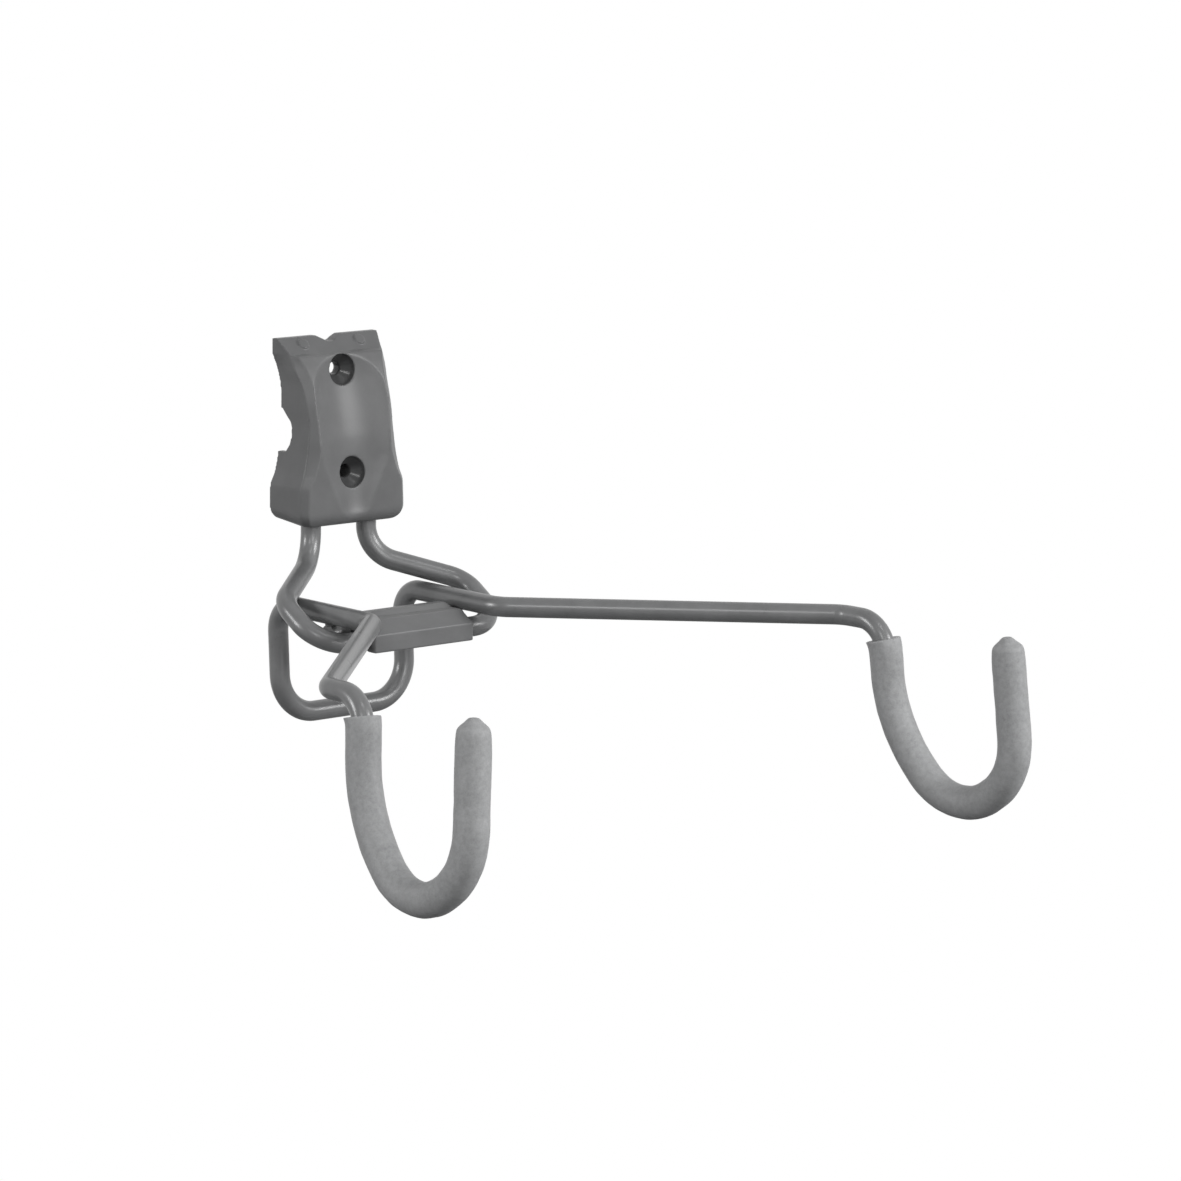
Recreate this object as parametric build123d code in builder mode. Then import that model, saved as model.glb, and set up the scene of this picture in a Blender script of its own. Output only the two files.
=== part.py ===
from build123d import *
import os

# A wall hook for one bicycle. A moulded bracket screws to the wall and holds a
# bent wire loop. A wire carrier with two padded hooks turns about a rod welded
# under its rails, inside a moulded clip that grips the loop's front bar.
#
# X runs to the right, -Y away from the wall towards the room, and Z up. The
# origin is the middle of the two screws, on the wall. Places are given as a
# distance out from the wall (out), to each side of the middle (side) and up (up).

# Wire
rod_diameter = 8.0
rod_radius = rod_diameter / 2

# Fits
running_clearance = 0.05
snap_clearance = 0.02
socket_clearance = 0.05
sleeve_clearance = 0.05

# Wall screws
screw_spacing = 40.0
screw_hole_diameter = 5.2
screw_head_diameter = 12.4
screw_head_recess = 1.0
upper_screw_land = 3.0
upper_rim_set_back = 9.8
lower_rim_set_back = 3.0
screw_boss_diameter = 17.0
screw_rib = 2.6

# Bracket outline, seen from the front
bracket_top = 33.0
bracket_bottom = -38.7
bracket_bottom_slope = 2.3
bracket_top_half = 25.0
bracket_waist_half = 20.6
bracket_waist_up = 4.0
bracket_foot_half = 26.0
bracket_foot_up = -25.5
bracket_top_corner = 1.2
bracket_bottom_corner = 5.5

# Bracket profile, seen from the side
bracket_depth = 21.8
bracket_wall = 2.8
lip_edge_out = 2.4
lip_fold_out = 8.3
lip_fold_up = 26.9
front_upright_up = -15.0
front_bottom_round = 5.0
scoop_radius = 38.0
scoop_foot_up = -37.0

# Notch in the bracket's top edge, and a finger notch at the back of each side
top_notch_width = 11.4
top_notch_depth = 2.5
side_notch_top = 4.9
side_notch_bottom = -11.8
side_notch_out = 7.9
notch_overcut = 0.6

# Wall loop
leg_spacing = 27.7
leg_out = 10.7
leg_socket_top = 6.0
leg_boss_diameter = 12.0
leg_boss_cap = 3.0
leg_bend_up = -54.6
leg_bend_radius = 15.0
loop_half = 45.4
loop_bend_out = 33.9
loop_bend_up = -65.5
loop_bend_radius = 13.9
bar_out = 57.0
bar_up = -79.6
bar_corner_radius = 14.5

# Carrier
rail_half = 31.35
rail_up = -69.9
pivot_out = 46.0
pivot_overhang = 1.5
stop_loop_top_out = 11.8
stop_loop_top_radius = 10.5
stop_loop_bottom_out = 14.4
stop_loop_bottom_radius = 16.2
stop_loop_drop = 44.6
rail_corner_out = 71.7
rail_corner_radius = 11.7
arm_half = 127.2
arm_corner_out = 166.8
arm_corner_radius = 10.5

# Hooks, measured from the arm's corner and down from the rails
hook_neck_out = 21.7
hook_neck_radius = 12.8
hook_back_out = 24.4
hook_back_drop = 40.4
hook_back_radius = 57.4
hook_floor_share = 0.49616
hook_floor_drop = 73.7
hook_bend_share = 0.414747
hook_toe_out = 89.5
hook_toe_drop = 51.2
hook_tip_lean = 3.5
hook_tip_rise = 2.9
hook_toe_splay = 0.044
hook_drop_splay = 0.07

# Foam grips
grip_diameter = 13.0
grip_nose_length = 26.0
grip_tip_cover = 4.5
grip_mouth_turn = 0.75

# Hinge clip
clip_length = 49.0
clip_wall = 2.7
clip_pivot_crown = 3.4
clip_bar_crown = 3.8
clip_skirt = 3.85
clip_mouth = 6.0
clip_front_wall = 4.0
clip_flat_width = 5.7
clip_bevel_width = 7.6
clip_bevel_drop = 4.5
clip_back_round = 5.5
clip_ridge_land = 3.0

# Places that follow from the sizes
leg_half = leg_spacing / 2
pivot_up = rail_up - rod_diameter
screw_half = screw_spacing / 2
upper_rim_out = bracket_depth - upper_rim_set_back
lower_rim_out = bracket_depth - lower_rim_set_back
hook_width = hook_toe_out - hook_back_out
hook_floor_out = hook_back_out + hook_floor_share * hook_width
hook_bend_radius = hook_bend_share * hook_width
hook_tip_out = hook_toe_out - hook_tip_lean
socket_diameter = rod_diameter + 2 * socket_clearance


def place(side: float, out: float, up: float) -> Vector:
    """Return the point that lies so far to the side, out from the wall and up."""
    return Vector(side, -out, up)


def mirrored(points: list) -> list:
    """Return the points, then their mirror images back to the other side."""
    return points + [Vector(-point.X, point.Y, point.Z) for point in reversed(points)]


def hook_place(hand: int, out: float, drop: float) -> Vector:
    """Return a point of a hook, from its distance past the arm's corner and its drop."""
    splay = hook_toe_splay * out + hook_drop_splay * drop
    return place(hand * (arm_half + splay), arm_corner_out + out, rail_up - drop)


def hook_points(hand: int) -> list:
    """Return the corners of one hook's route, from its neck to its tip."""
    return [
        hook_place(hand, hook_neck_out, 0),
        hook_place(hand, hook_back_out, hook_back_drop),
        hook_place(hand, hook_floor_out, hook_floor_drop),
        hook_place(hand, hook_toe_out, hook_toe_drop),
        hook_place(hand, hook_tip_out, -hook_tip_rise),
    ]


hook_radii = [hook_neck_radius, hook_back_radius, hook_bend_radius, hook_bend_radius]


def shortened(points: list, cut: float) -> list:
    """Return the route with its last point moved back along the last run."""
    back = (points[-2] - points[-1]).normalized()
    return points[:-1] + [points[-1] + back * cut]


# Wall bracket: the outline seen from the front
with BuildSketch(Plane.XZ) as bracket_front:
    with BuildLine():
        right = Polyline(
            (0, bracket_bottom - bracket_bottom_slope),
            (bracket_foot_half, bracket_bottom - bracket_bottom_slope),
            (bracket_foot_half, bracket_foot_up),
        )
        waist = ThreePointArc(
            right @ 1,
            (bracket_waist_half, bracket_waist_up),
            (bracket_top_half, bracket_top),
        )
        Line(waist @ 1, (0, bracket_top))
        mirror(about=Plane.YZ)
    make_face()
    fillet(bracket_front.vertices().group_by(Axis.Y)[0], bracket_bottom_corner)
    fillet(bracket_front.vertices().group_by(Axis.Y)[-1], bracket_top_corner)

# Wall bracket: the profile seen from the side, with its outward axis reversed
with BuildSketch(Plane.YZ) as bracket_side:
    with BuildLine():
        sole = Line((0, bracket_bottom), (-bracket_depth, bracket_bottom - bracket_bottom_slope))
        front = Line(sole @ 1, (-bracket_depth, front_upright_up))
        brow = TangentArc(front @ 1, (-lip_fold_out, lip_fold_up), tangent=front % 1)
        Polyline(brow @ 1, (-lip_edge_out, bracket_top), (0, bracket_top), sole @ 0)
    make_face()
    fillet(bracket_side.vertices().sort_by(Axis.Y)[0], front_bottom_round)

# Wall bracket: the scoop's bottom line runs level past each screw hole
scoop_line = [
    (bracket_top, upper_rim_out),
    (screw_half - screw_head_diameter / 2, upper_rim_out),
    (screw_head_diameter / 2 - screw_half, lower_rim_out),
    (-screw_half - screw_head_diameter / 2, lower_rim_out),
    (scoop_foot_up, bracket_depth),
    (bracket_bottom - front_bottom_round, bracket_depth + bracket_bottom_slope),
]

with BuildPart() as bracket_scoop:
    for height, out in scoop_line:
        with BuildSketch(Plane.XY.offset(height)):
            with Locations((0, -out - scoop_radius)):
                Circle(scoop_radius)
    loft(ruled=True)

# Wall bracket: the hollow behind it, less the bosses that stay in it
with BuildPart() as bracket_hollow:
    with BuildSketch(Plane.YZ):
        add(bracket_side.sketch_local)
        offset(amount=-bracket_wall, kind=Kind.INTERSECTION)
    extrude(amount=bracket_foot_half, both=True)
    hollow_top = bracket_hollow.faces().sort_by(Axis.Y)[-1].bounding_box().max.Z
    hollow_foot = bracket_hollow.faces().sort_by(Axis.Y)[-1].bounding_box().min.Z
    with BuildSketch(Plane.XZ.offset(bracket_wall)):
        with Locations((0, (hollow_top + hollow_foot) / 2)):
            Rectangle(2 * bracket_foot_half, hollow_top - hollow_foot)
    extrude(amount=-2 * bracket_wall)
    with BuildSketch(Plane.XZ.offset(bracket_depth)):
        add(bracket_front.sketch_local)
        offset(amount=-bracket_wall, kind=Kind.INTERSECTION)
    extrude(amount=-2 * bracket_depth, mode=Mode.INTERSECT)
    with Locations((0, 0, bracket_bottom)):
        with GridLocations(leg_spacing, 1, 2, 1):
            with Locations((0, -leg_out, 0)):
                Cylinder(
                    leg_boss_diameter / 2,
                    leg_socket_top + leg_boss_cap - bracket_bottom,
                    align=(Align.CENTER, Align.CENTER, Align.MIN),
                    mode=Mode.SUBTRACT,
                )
    upper_land_back = upper_rim_out - screw_head_recess - upper_screw_land
    upper_land_back -= (screw_head_diameter - screw_hole_diameter) / 2
    with BuildSketch(Plane.XZ.offset(upper_land_back)):
        with Locations((0, screw_half)):
            Circle(screw_boss_diameter / 2)
    extrude(amount=bracket_depth, mode=Mode.SUBTRACT)
    with BuildSketch(Plane.XZ.offset(-bracket_wall)):
        with Locations((0, -screw_half)):
            Circle(screw_boss_diameter / 2)
    extrude(amount=bracket_depth + bracket_wall, mode=Mode.SUBTRACT)
    with BuildSketch(Plane.XZ.offset(-bracket_wall)):
        Rectangle(screw_rib, screw_spacing)
    extrude(amount=bracket_depth + bracket_wall, mode=Mode.SUBTRACT)

# Wall bracket: the shell, its sockets, screw holes and notches
with BuildPart() as wall_bracket:
    with BuildSketch(Plane.YZ):
        add(bracket_side.sketch_local)
    extrude(amount=bracket_foot_half, both=True)
    with BuildSketch(Plane.XZ.offset(2 * bracket_depth)):
        add(bracket_front.sketch_local)
    extrude(amount=-3 * bracket_depth, mode=Mode.INTERSECT)
    add(bracket_scoop.part, mode=Mode.SUBTRACT)
    add(bracket_hollow.part, mode=Mode.SUBTRACT)
    for side in (-leg_half, leg_half):
        with BuildSketch(Plane.XY.offset(leg_socket_top)):
            with Locations((side, -leg_out)):
                Circle(socket_diameter / 2)
        extrude(amount=2 * bracket_bottom, mode=Mode.SUBTRACT)
    for height, rim_out in ((screw_half, upper_rim_out), (-screw_half, lower_rim_out)):
        with Locations(Location(place(0, rim_out - screw_head_recess, height), (90, 0, 0))):
            CounterSinkHole(
                screw_hole_diameter / 2,
                screw_head_diameter / 2,
                depth=2 * bracket_depth,
                counter_sink_angle=90,
            )
        with BuildSketch(Plane.XZ.offset(rim_out - screw_head_recess)):
            with Locations((0, height)):
                Circle(screw_head_diameter / 2)
        extrude(amount=bracket_depth, mode=Mode.SUBTRACT)
    with BuildSketch(Plane.XZ):
        with BuildLine():
            Polyline(
                (-top_notch_width / 2, bracket_top),
                (0, bracket_top - 2 * top_notch_depth),
                (top_notch_width / 2, bracket_top),
                close=True,
            )
        make_face()
        with Locations((0, bracket_top - top_notch_depth - bracket_wall)):
            Rectangle(top_notch_width, 2 * bracket_wall, mode=Mode.SUBTRACT)
    extrude(amount=bracket_depth, mode=Mode.SUBTRACT)
    for hand in (-1, 1):
        with BuildSketch(Plane.YZ.offset(hand * (bracket_foot_half + bracket_wall))):
            with BuildLine():
                Polyline(
                    (bracket_wall, side_notch_top),
                    (-0.1 * side_notch_out, side_notch_top),
                    (-0.85 * side_notch_out, 0),
                    (-side_notch_out, side_notch_bottom / 2),
                    (-0.6 * side_notch_out, side_notch_bottom),
                    (bracket_wall, side_notch_bottom),
                    close=True,
                )
            make_face()
        extrude(
            amount=-hand * (bracket_foot_half + 2 * bracket_wall - bracket_waist_half + notch_overcut),
            mode=Mode.SUBTRACT,
        )

wall_bracket.part.label = "wall_bracket"
export_step(wall_bracket.part, "parts/wall_bracket.step")

# Wall loop: one bent wire, from the top of one leg round to the other
with BuildPart() as wall_wire:
    with BuildLine() as loop_route:
        FilletPolyline(
            *mirrored([
                place(leg_half, leg_out, leg_socket_top),
                place(leg_half, leg_out, leg_bend_up),
                place(loop_half, loop_bend_out, loop_bend_up),
                place(loop_half, bar_out, bar_up),
            ]),
            radius=[
                leg_bend_radius, loop_bend_radius, bar_corner_radius,
                bar_corner_radius, loop_bend_radius, leg_bend_radius,
            ],
        )
    with BuildSketch(Plane(loop_route.line @ 0, z_dir=loop_route.line % 0)):
        Circle(rod_radius)
    sweep()

wall_wire.part.label = "wall_wire"
export_step(wall_wire.part, "parts/wall_wire.step")

# Carrier wire: one bent wire, from one hook's tip through the stop loop to the other's
arm_side = [
    *reversed(shortened(hook_points(1), grip_tip_cover)),
    place(arm_half, arm_corner_out, rail_up),
    place(rail_half, rail_corner_out, rail_up),
    place(rail_half, stop_loop_top_out, rail_up),
    place(rail_half, stop_loop_bottom_out, rail_up - stop_loop_drop),
]
arm_side_radii = [
    *reversed(hook_radii),
    arm_corner_radius,
    rail_corner_radius,
    stop_loop_top_radius,
    stop_loop_bottom_radius,
]

with BuildPart() as arm_wire:
    with BuildLine() as arm_route:
        FilletPolyline(*mirrored(arm_side), radius=arm_side_radii + arm_side_radii[::-1])
    with BuildSketch(Plane(arm_route.line @ 0, z_dir=arm_route.line % 0)):
        Circle(rod_radius)
    sweep()

arm_wire.part.label = "arm_wire"
export_step(arm_wire.part, "parts/arm_wire.step")

# Pivot rod: a straight length welded across the underside of the rails
with BuildPart() as pivot_rod:
    with BuildSketch(Plane.YZ.offset(-rail_half - pivot_overhang)):
        with Locations((-pivot_out, pivot_up)):
            Circle(rod_radius)
    extrude(amount=2 * (rail_half + pivot_overhang))

pivot_rod.part.label = "pivot_rod"
export_step(pivot_rod.part, "parts/pivot_rod.step")

# Hinge clip: a block with two snap channels, open below
pivot_bore = rod_radius + running_clearance
bar_bore = rod_radius + snap_clearance
clip_back = pivot_out - pivot_bore - clip_wall
clip_front = bar_out + bar_bore + clip_front_wall
clip_foot = bar_up - clip_skirt
clip_ridge_top = pivot_up + pivot_bore + clip_pivot_crown
clip_flat_top = bar_up + bar_bore + clip_bar_crown
clip_flat_back = clip_front - clip_bevel_width - clip_flat_width

with BuildPart() as hinge_clip:
    with BuildSketch(Plane.YZ.offset(-clip_length / 2)):
        with BuildLine():
            back_wall = Line((-clip_back, clip_foot), (-clip_back, clip_ridge_top - clip_back_round))
            ridge = TangentArc(
                back_wall @ 1,
                (-clip_back - clip_back_round, clip_ridge_top),
                tangent=back_wall % 1,
            )
            Polyline(
                ridge @ 1,
                (-clip_back - clip_back_round - clip_ridge_land, clip_ridge_top),
                (-clip_flat_back, clip_flat_top),
                (-clip_front + clip_bevel_width, clip_flat_top),
                (-clip_front, clip_flat_top - clip_bevel_drop),
                (-clip_front, clip_foot),
                back_wall @ 0,
            )
        make_face()
        for out, up, bore in ((pivot_out, pivot_up, pivot_bore), (bar_out, bar_up, bar_bore)):
            with Locations((-out, up)):
                Circle(bore, mode=Mode.SUBTRACT)
            with Locations((-out, up)):
                Rectangle(
                    clip_mouth,
                    2 * rod_diameter,
                    align=(Align.CENTER, Align.MAX),
                    mode=Mode.SUBTRACT,
                )
    extrude(amount=clip_length)

hinge_clip.part.label = "hinge_clip"
export_step(hinge_clip.part, "parts/hinge_clip.step")

# Grips: a foam sleeve on each hook, open at the neck, with a straight domed nose
for hand, grip_name in ((-1, "left_grip"), (1, "right_grip")):
    grip_points = [place(hand * arm_half, arm_corner_out, rail_up), *hook_points(hand)]
    with BuildPart() as grip:
        with BuildLine() as hook_route:
            FilletPolyline(*shortened(grip_points, grip_nose_length), radius=hook_radii)
        necks = hook_route.edges().filter_by(GeomType.CIRCLE)
        neck = necks.sort_by_distance(hook_route.line @ 0)[0]
        mouth = neck @ grip_mouth_turn
        nose_root = hook_route.line @ 1
        nose_way = hook_route.line % 1
        with BuildSketch(Plane(mouth, z_dir=neck % grip_mouth_turn)):
            Circle(grip_diameter / 2)
        sweep(path=hook_route.wires()[0].trim(mouth, nose_root))
        nose_plane = Plane(nose_root, x_dir=nose_way, z_dir=nose_way.cross(Vector(0, 1, 0)))
        with BuildSketch(nose_plane):
            with BuildLine():
                shank = Line(
                    (0, grip_diameter / 2),
                    (grip_nose_length - grip_diameter / 2, grip_diameter / 2),
                )
                dome = TangentArc(shank @ 1, (grip_nose_length, 0), tangent=shank % 1)
                Polyline(dome @ 1, (0, 0), shank @ 0)
            make_face()
        revolve(axis=Axis(nose_root, nose_way))
        with BuildLine() as rod_route:
            FilletPolyline(*shortened(grip_points, grip_tip_cover), radius=hook_radii)
        with BuildSketch(Plane(rod_route.line @ 0, z_dir=rod_route.line % 0)):
            Circle(rod_radius + sleeve_clearance)
        sweep(path=rod_route.line, mode=Mode.SUBTRACT)
    grip.part.label = grip_name
    export_step(grip.part, "parts/" + grip_name + ".step")
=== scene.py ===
"""Wall hook for one bicycle: the looks of its bracket, wires, hinge clip and foam grips."""

import logging
import math
from dataclasses import dataclass, fields
from enum import Enum

import bmesh
import bpy
import numpy as np
from mathutils import Matrix, Vector, noise


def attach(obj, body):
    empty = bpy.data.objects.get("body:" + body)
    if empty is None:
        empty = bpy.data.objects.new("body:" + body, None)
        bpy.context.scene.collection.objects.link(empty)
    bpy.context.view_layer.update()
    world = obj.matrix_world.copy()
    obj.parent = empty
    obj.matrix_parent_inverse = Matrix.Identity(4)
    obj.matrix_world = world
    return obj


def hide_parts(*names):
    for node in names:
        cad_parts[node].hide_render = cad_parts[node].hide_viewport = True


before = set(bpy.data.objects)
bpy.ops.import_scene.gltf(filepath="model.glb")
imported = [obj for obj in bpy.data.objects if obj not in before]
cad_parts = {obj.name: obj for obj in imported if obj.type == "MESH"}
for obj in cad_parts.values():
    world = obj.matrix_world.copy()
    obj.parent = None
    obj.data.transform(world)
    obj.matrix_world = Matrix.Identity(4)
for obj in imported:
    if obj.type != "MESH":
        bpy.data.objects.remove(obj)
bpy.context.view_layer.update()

LOG = logging.getLogger("bicycle_hook")
MM = 0.001
WHITE = (1.0, 1.0, 1.0, 1.0)
# Sides of a drilled hole and of a lip pad, and subdivisions of a weld bead
HOLE_STEPS, PAD_STEPS, BEAD_DETAIL = 64, 40, 5
# How far a smoothing round pulls each point to its neighbours, and then back
SHRINK, SWELL = 0.55, -0.35
LUMP_SEED, LUMPS_PER_METRE = 7.0, 420.0


class Slot(Enum):
    """The record's material slots."""

    BRACKET = "moulded_plastic"
    CLIP = "clip_plastic"
    WIRE = "painted_wire"
    FOAM = "grip_foam"


class Body(Enum):
    """The bodies that pieces ride on."""

    WALL_MOUNT = "wall_mount"
    CARRIER = "carrier"


class Hand(Enum):
    """The two sides, each with the sign of its X."""

    LEFT = -1
    RIGHT = 1


class Carving(Enum):
    """What a Boolean modifier does with its tool."""

    CUT = "DIFFERENCE"
    ADD = "UNION"


def place(side: float, out: float, up: float) -> Vector:
    """Point so many millimetres to the side, out from the wall and up, in metres."""
    return Vector((side, -out, up)) * MM


def mirrored(points: list[Vector]) -> list[Vector]:
    """The points, then their mirror images back to the other side."""
    return points + [Vector((-p.x, p.y, p.z)) for p in reversed(points)]


# Node trees


class Reading:
    """One output of a node, with arithmetic that adds Math nodes.

    Args:
        sheet: The sheet that the node is on.
        node: The node.
        socket: The output that is read.
    """

    def __init__(
            self, sheet: "Sheet", node: bpy.types.Node, socket: bpy.types.NodeSocket) -> None:
        """Keep the sheet, the node and the output."""
        self.sheet = sheet
        self.node = node
        self.socket = socket

    def out(self, name: str) -> "Reading":
        """Another output of the same node."""
        return Reading(self.sheet, self.node, self.node.outputs[name])

    def _math(self, operation: str, first: object, second: object) -> "Reading":
        """A Math node on two readings or numbers."""
        return self.sheet.node("ShaderNodeMath", {"operation": operation}, {0: first, 1: second})

    def __add__(self, other: object) -> "Reading":
        """This plus another."""
        return self._math("ADD", self, other)

    def __radd__(self, other: object) -> "Reading":
        """Another plus this."""
        return self._math("ADD", other, self)

    def __sub__(self, other: object) -> "Reading":
        """This less another."""
        return self._math("SUBTRACT", self, other)

    def __rsub__(self, other: object) -> "Reading":
        """Another less this."""
        return self._math("SUBTRACT", other, self)

    def __mul__(self, other: object) -> "Reading":
        """This times another."""
        return self._math("MULTIPLY", self, other)

    def __rmul__(self, other: object) -> "Reading":
        """Another times this."""
        return self._math("MULTIPLY", other, self)


class Sheet:
    """A node tree that is filled from Python.

    Args:
        tree: The empty tree.
    """

    def __init__(self, tree: bpy.types.NodeTree) -> None:
        """Keep the tree, and empty it."""
        self.tree = tree
        self.tree.nodes.clear()

    def node(self, kind: str, settings: dict | None = None, inputs: dict | None = None) -> Reading:
        """Add a node, set it up and fill its sockets.

        Args:
            kind: The node's type.
            settings: Its properties, which are set first.
            inputs: Values or readings by socket name, identifier or number.

        Returns:
            A reading of its first output, or of the node alone where it has none.
        """
        made = self.tree.nodes.new(kind)
        for name, value in (settings or {}).items():
            setattr(made, name, value)
        for key, value in (inputs or {}).items():
            socket = self._find(made.inputs, key)
            if isinstance(value, Reading):
                self.tree.links.new(value.socket, socket)
            else:
                socket.default_value = value
        live = [s for s in made.outputs if s.enabled]
        return Reading(self, made, live[0] if live else None)

    @staticmethod
    def _find(sockets: bpy.types.bpy_prop_collection, key: object) -> bpy.types.NodeSocket:
        """Find a socket.

        Args:
            sockets: A node's inputs.
            key: The socket's number, identifier or name.

        Returns:
            The socket.
        """
        if isinstance(key, int):
            return sockets[key]
        for socket in sockets:
            if socket.identifier == key:
                return socket
        return sockets[key]

    def ramp(self, factor: Reading, stops: list[tuple[float, float]]) -> Reading:
        """Add a Color Ramp of greys.

        Args:
            factor: What it reads.
            stops: Positions and linear greys, from low to high.

        Returns:
            Its colour.
        """
        made = self.node("ShaderNodeValToRGB", None, {"Fac": factor})
        elements = made.node.color_ramp.elements
        while len(elements) < len(stops):
            elements.new(1.0)
        for element, (position, level) in zip(elements, stops):
            element.position = position
            element.color = (*grey(level), 1.0)
        return made

    def noise(self, where: Reading, scale: float, detail: float, roughness: float) -> Reading:
        """Add a Noise Texture.

        Args:
            where: The point that it reads.
            scale: How many swells it has in a metre.
            detail: How many finer layers it has.
            roughness: How strong those are.

        Returns:
            Its height, from 0 to 1.
        """
        return self.node("ShaderNodeTexNoise", None, {
            "Vector": where, "Scale": scale, "Detail": detail, "Roughness": roughness})

    def fade(self, value: Reading, start: float, end: float) -> Reading:
        """Add a Map Range that falls from 1 to 0.

        Args:
            value: What it reads.
            start: Where it begins to fall.
            end: Where it reaches 0.

        Returns:
            The share.
        """
        return self.node("ShaderNodeMapRange", None, {
            "Value": value, "From Min": start, "From Max": end, "To Min": 1.0, "To Max": 0.0})


def shader_sheet(name: str) -> tuple[bpy.types.Material, Sheet]:
    """Start a material.

    Args:
        name: Its name.

    Returns:
        The material and the sheet of its nodes.
    """
    material = bpy.data.materials.new(name)
    material.use_nodes = True
    return material, Sheet(material.node_tree)


def grey(level: float) -> tuple[float, float, float]:
    """A neutral colour of one linear level, very slightly cool."""
    return (level * 0.99, level, level * 1.012)


def looked_at(path: Reading) -> Reading:
    """One for a ray of the camera, of a reflection or through glass, from a Light Path node."""
    return path.out("Is Camera Ray") + path.out("Is Glossy Ray") + path.out("Is Transmission Ray")


# Finishes


@dataclass(frozen=True)
class MouldedPlastic:
    """Grey moulded plastic with a fine eroded grain.

    Attributes:
        name: The material's name.
        level: Its linear grey.
        tones: Its darkest and palest tone beside that.
        roughness: Its mean roughness.
        clouds: How many slow swells of tone it has in a metre.
        grain: Size of the grain in millimetres.
        grain_depth: Depth of the grain in millimetres.
        relief: Strength of the grain's bump.
        shine: The specular level.
        seats: Half the distance between two glossy screw seats with painted shade, in millimetres,
            or 0 for none.
        seat_radius: Their radius in millimetres.
        seat_edge: How far inside and outside that radius the polish fades.
        seat_floor: Between which distances from the wall it fades behind the seats.
        seat_shade: How dark the painted shade in the seats is beside the rest.
        seat_gloss: How much less rough they are.
    """

    name: str
    level: float = 0.15
    tones: tuple[float, float] = (0.9, 1.12)
    roughness: float = 0.37
    clouds: float = 70.0
    grain: float = 0.35
    grain_depth: float = 0.02
    relief: float = 0.55
    shine: float = 0.26
    seats: float = 0.0
    seat_radius: float = 6.2
    seat_edge: tuple[float, float] = (0.25, 0.1)
    seat_floor: tuple[float, float] = (5.0, 4.0)
    seat_shade: float = 0.42
    seat_gloss: float = 0.16

    def seat_shade_and_gloss_mask(self, sheet: Sheet, where: Reading) -> Reading:
        """How far a point is inside a screw seat, where shade is painted and gloss added.

        Args:
            sheet: The material's sheet.
            where: The point.

        Returns:
            From 0 outside to 1 inside.
        """
        split = sheet.node("ShaderNodeSeparateXYZ", None, {"Vector": where})
        side, out, up = split.out("X"), split.out("Y"), split.out("Z")
        above = sheet.node("ShaderNodeMath", {"operation": "ABSOLUTE"}, {0: up}) - self.seats * MM
        away = sheet.node(
            "ShaderNodeMath", {"operation": "SQRT"}, {0: side * side + above * above})
        inner, outer = self.seat_edge
        near = sheet.fade(away, (self.seat_radius - inner) * MM, (self.seat_radius + outer) * MM)
        front, back = self.seat_floor
        return near * sheet.fade(out, -front * MM, -back * MM)

    def build(self) -> bpy.types.Material:
        """Build the material.

        Returns:
            The material.
        """
        material, sheet = shader_sheet(self.name)
        where = sheet.node("ShaderNodeTexCoord").out("Object")
        cloud = sheet.noise(where, self.clouds, 3.0, 0.55)
        speck = sheet.noise(where, 1.0 / (self.grain * MM), 4.0, 0.6)
        dark, pale = self.tones
        colour = sheet.ramp(cloud * 0.7 + speck * 0.3, [
            (0.3, self.level * dark), (0.5, self.level), (0.7, self.level * pale)])
        rough = cloud * 0.12 + speck * 0.1 + (self.roughness - 0.11)
        # Painted shade: the screw seats are darkened in the base colour, and also made less rough.
        if self.seats:
            mask = self.seat_shade_and_gloss_mask(sheet, where)
            colour = sheet.node("ShaderNodeVectorMath", {"operation": "SCALE"}, {
                0: colour, "Scale": 1.0 - mask * (1.0 - self.seat_shade)})
            rough = rough - mask * self.seat_gloss
        bump = sheet.node("ShaderNodeBump", None, {
            "Strength": self.relief, "Distance": self.grain_depth * MM, "Height": speck})
        surface = sheet.node("ShaderNodeBsdfPrincipled", None, {
            "Base Color": colour, "Roughness": rough, "Normal": bump,
            "Specular IOR Level": self.shine, "IOR": 1.5})
        sheet.node("ShaderNodeOutputMaterial", None, {"Surface": surface})
        return material


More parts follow.
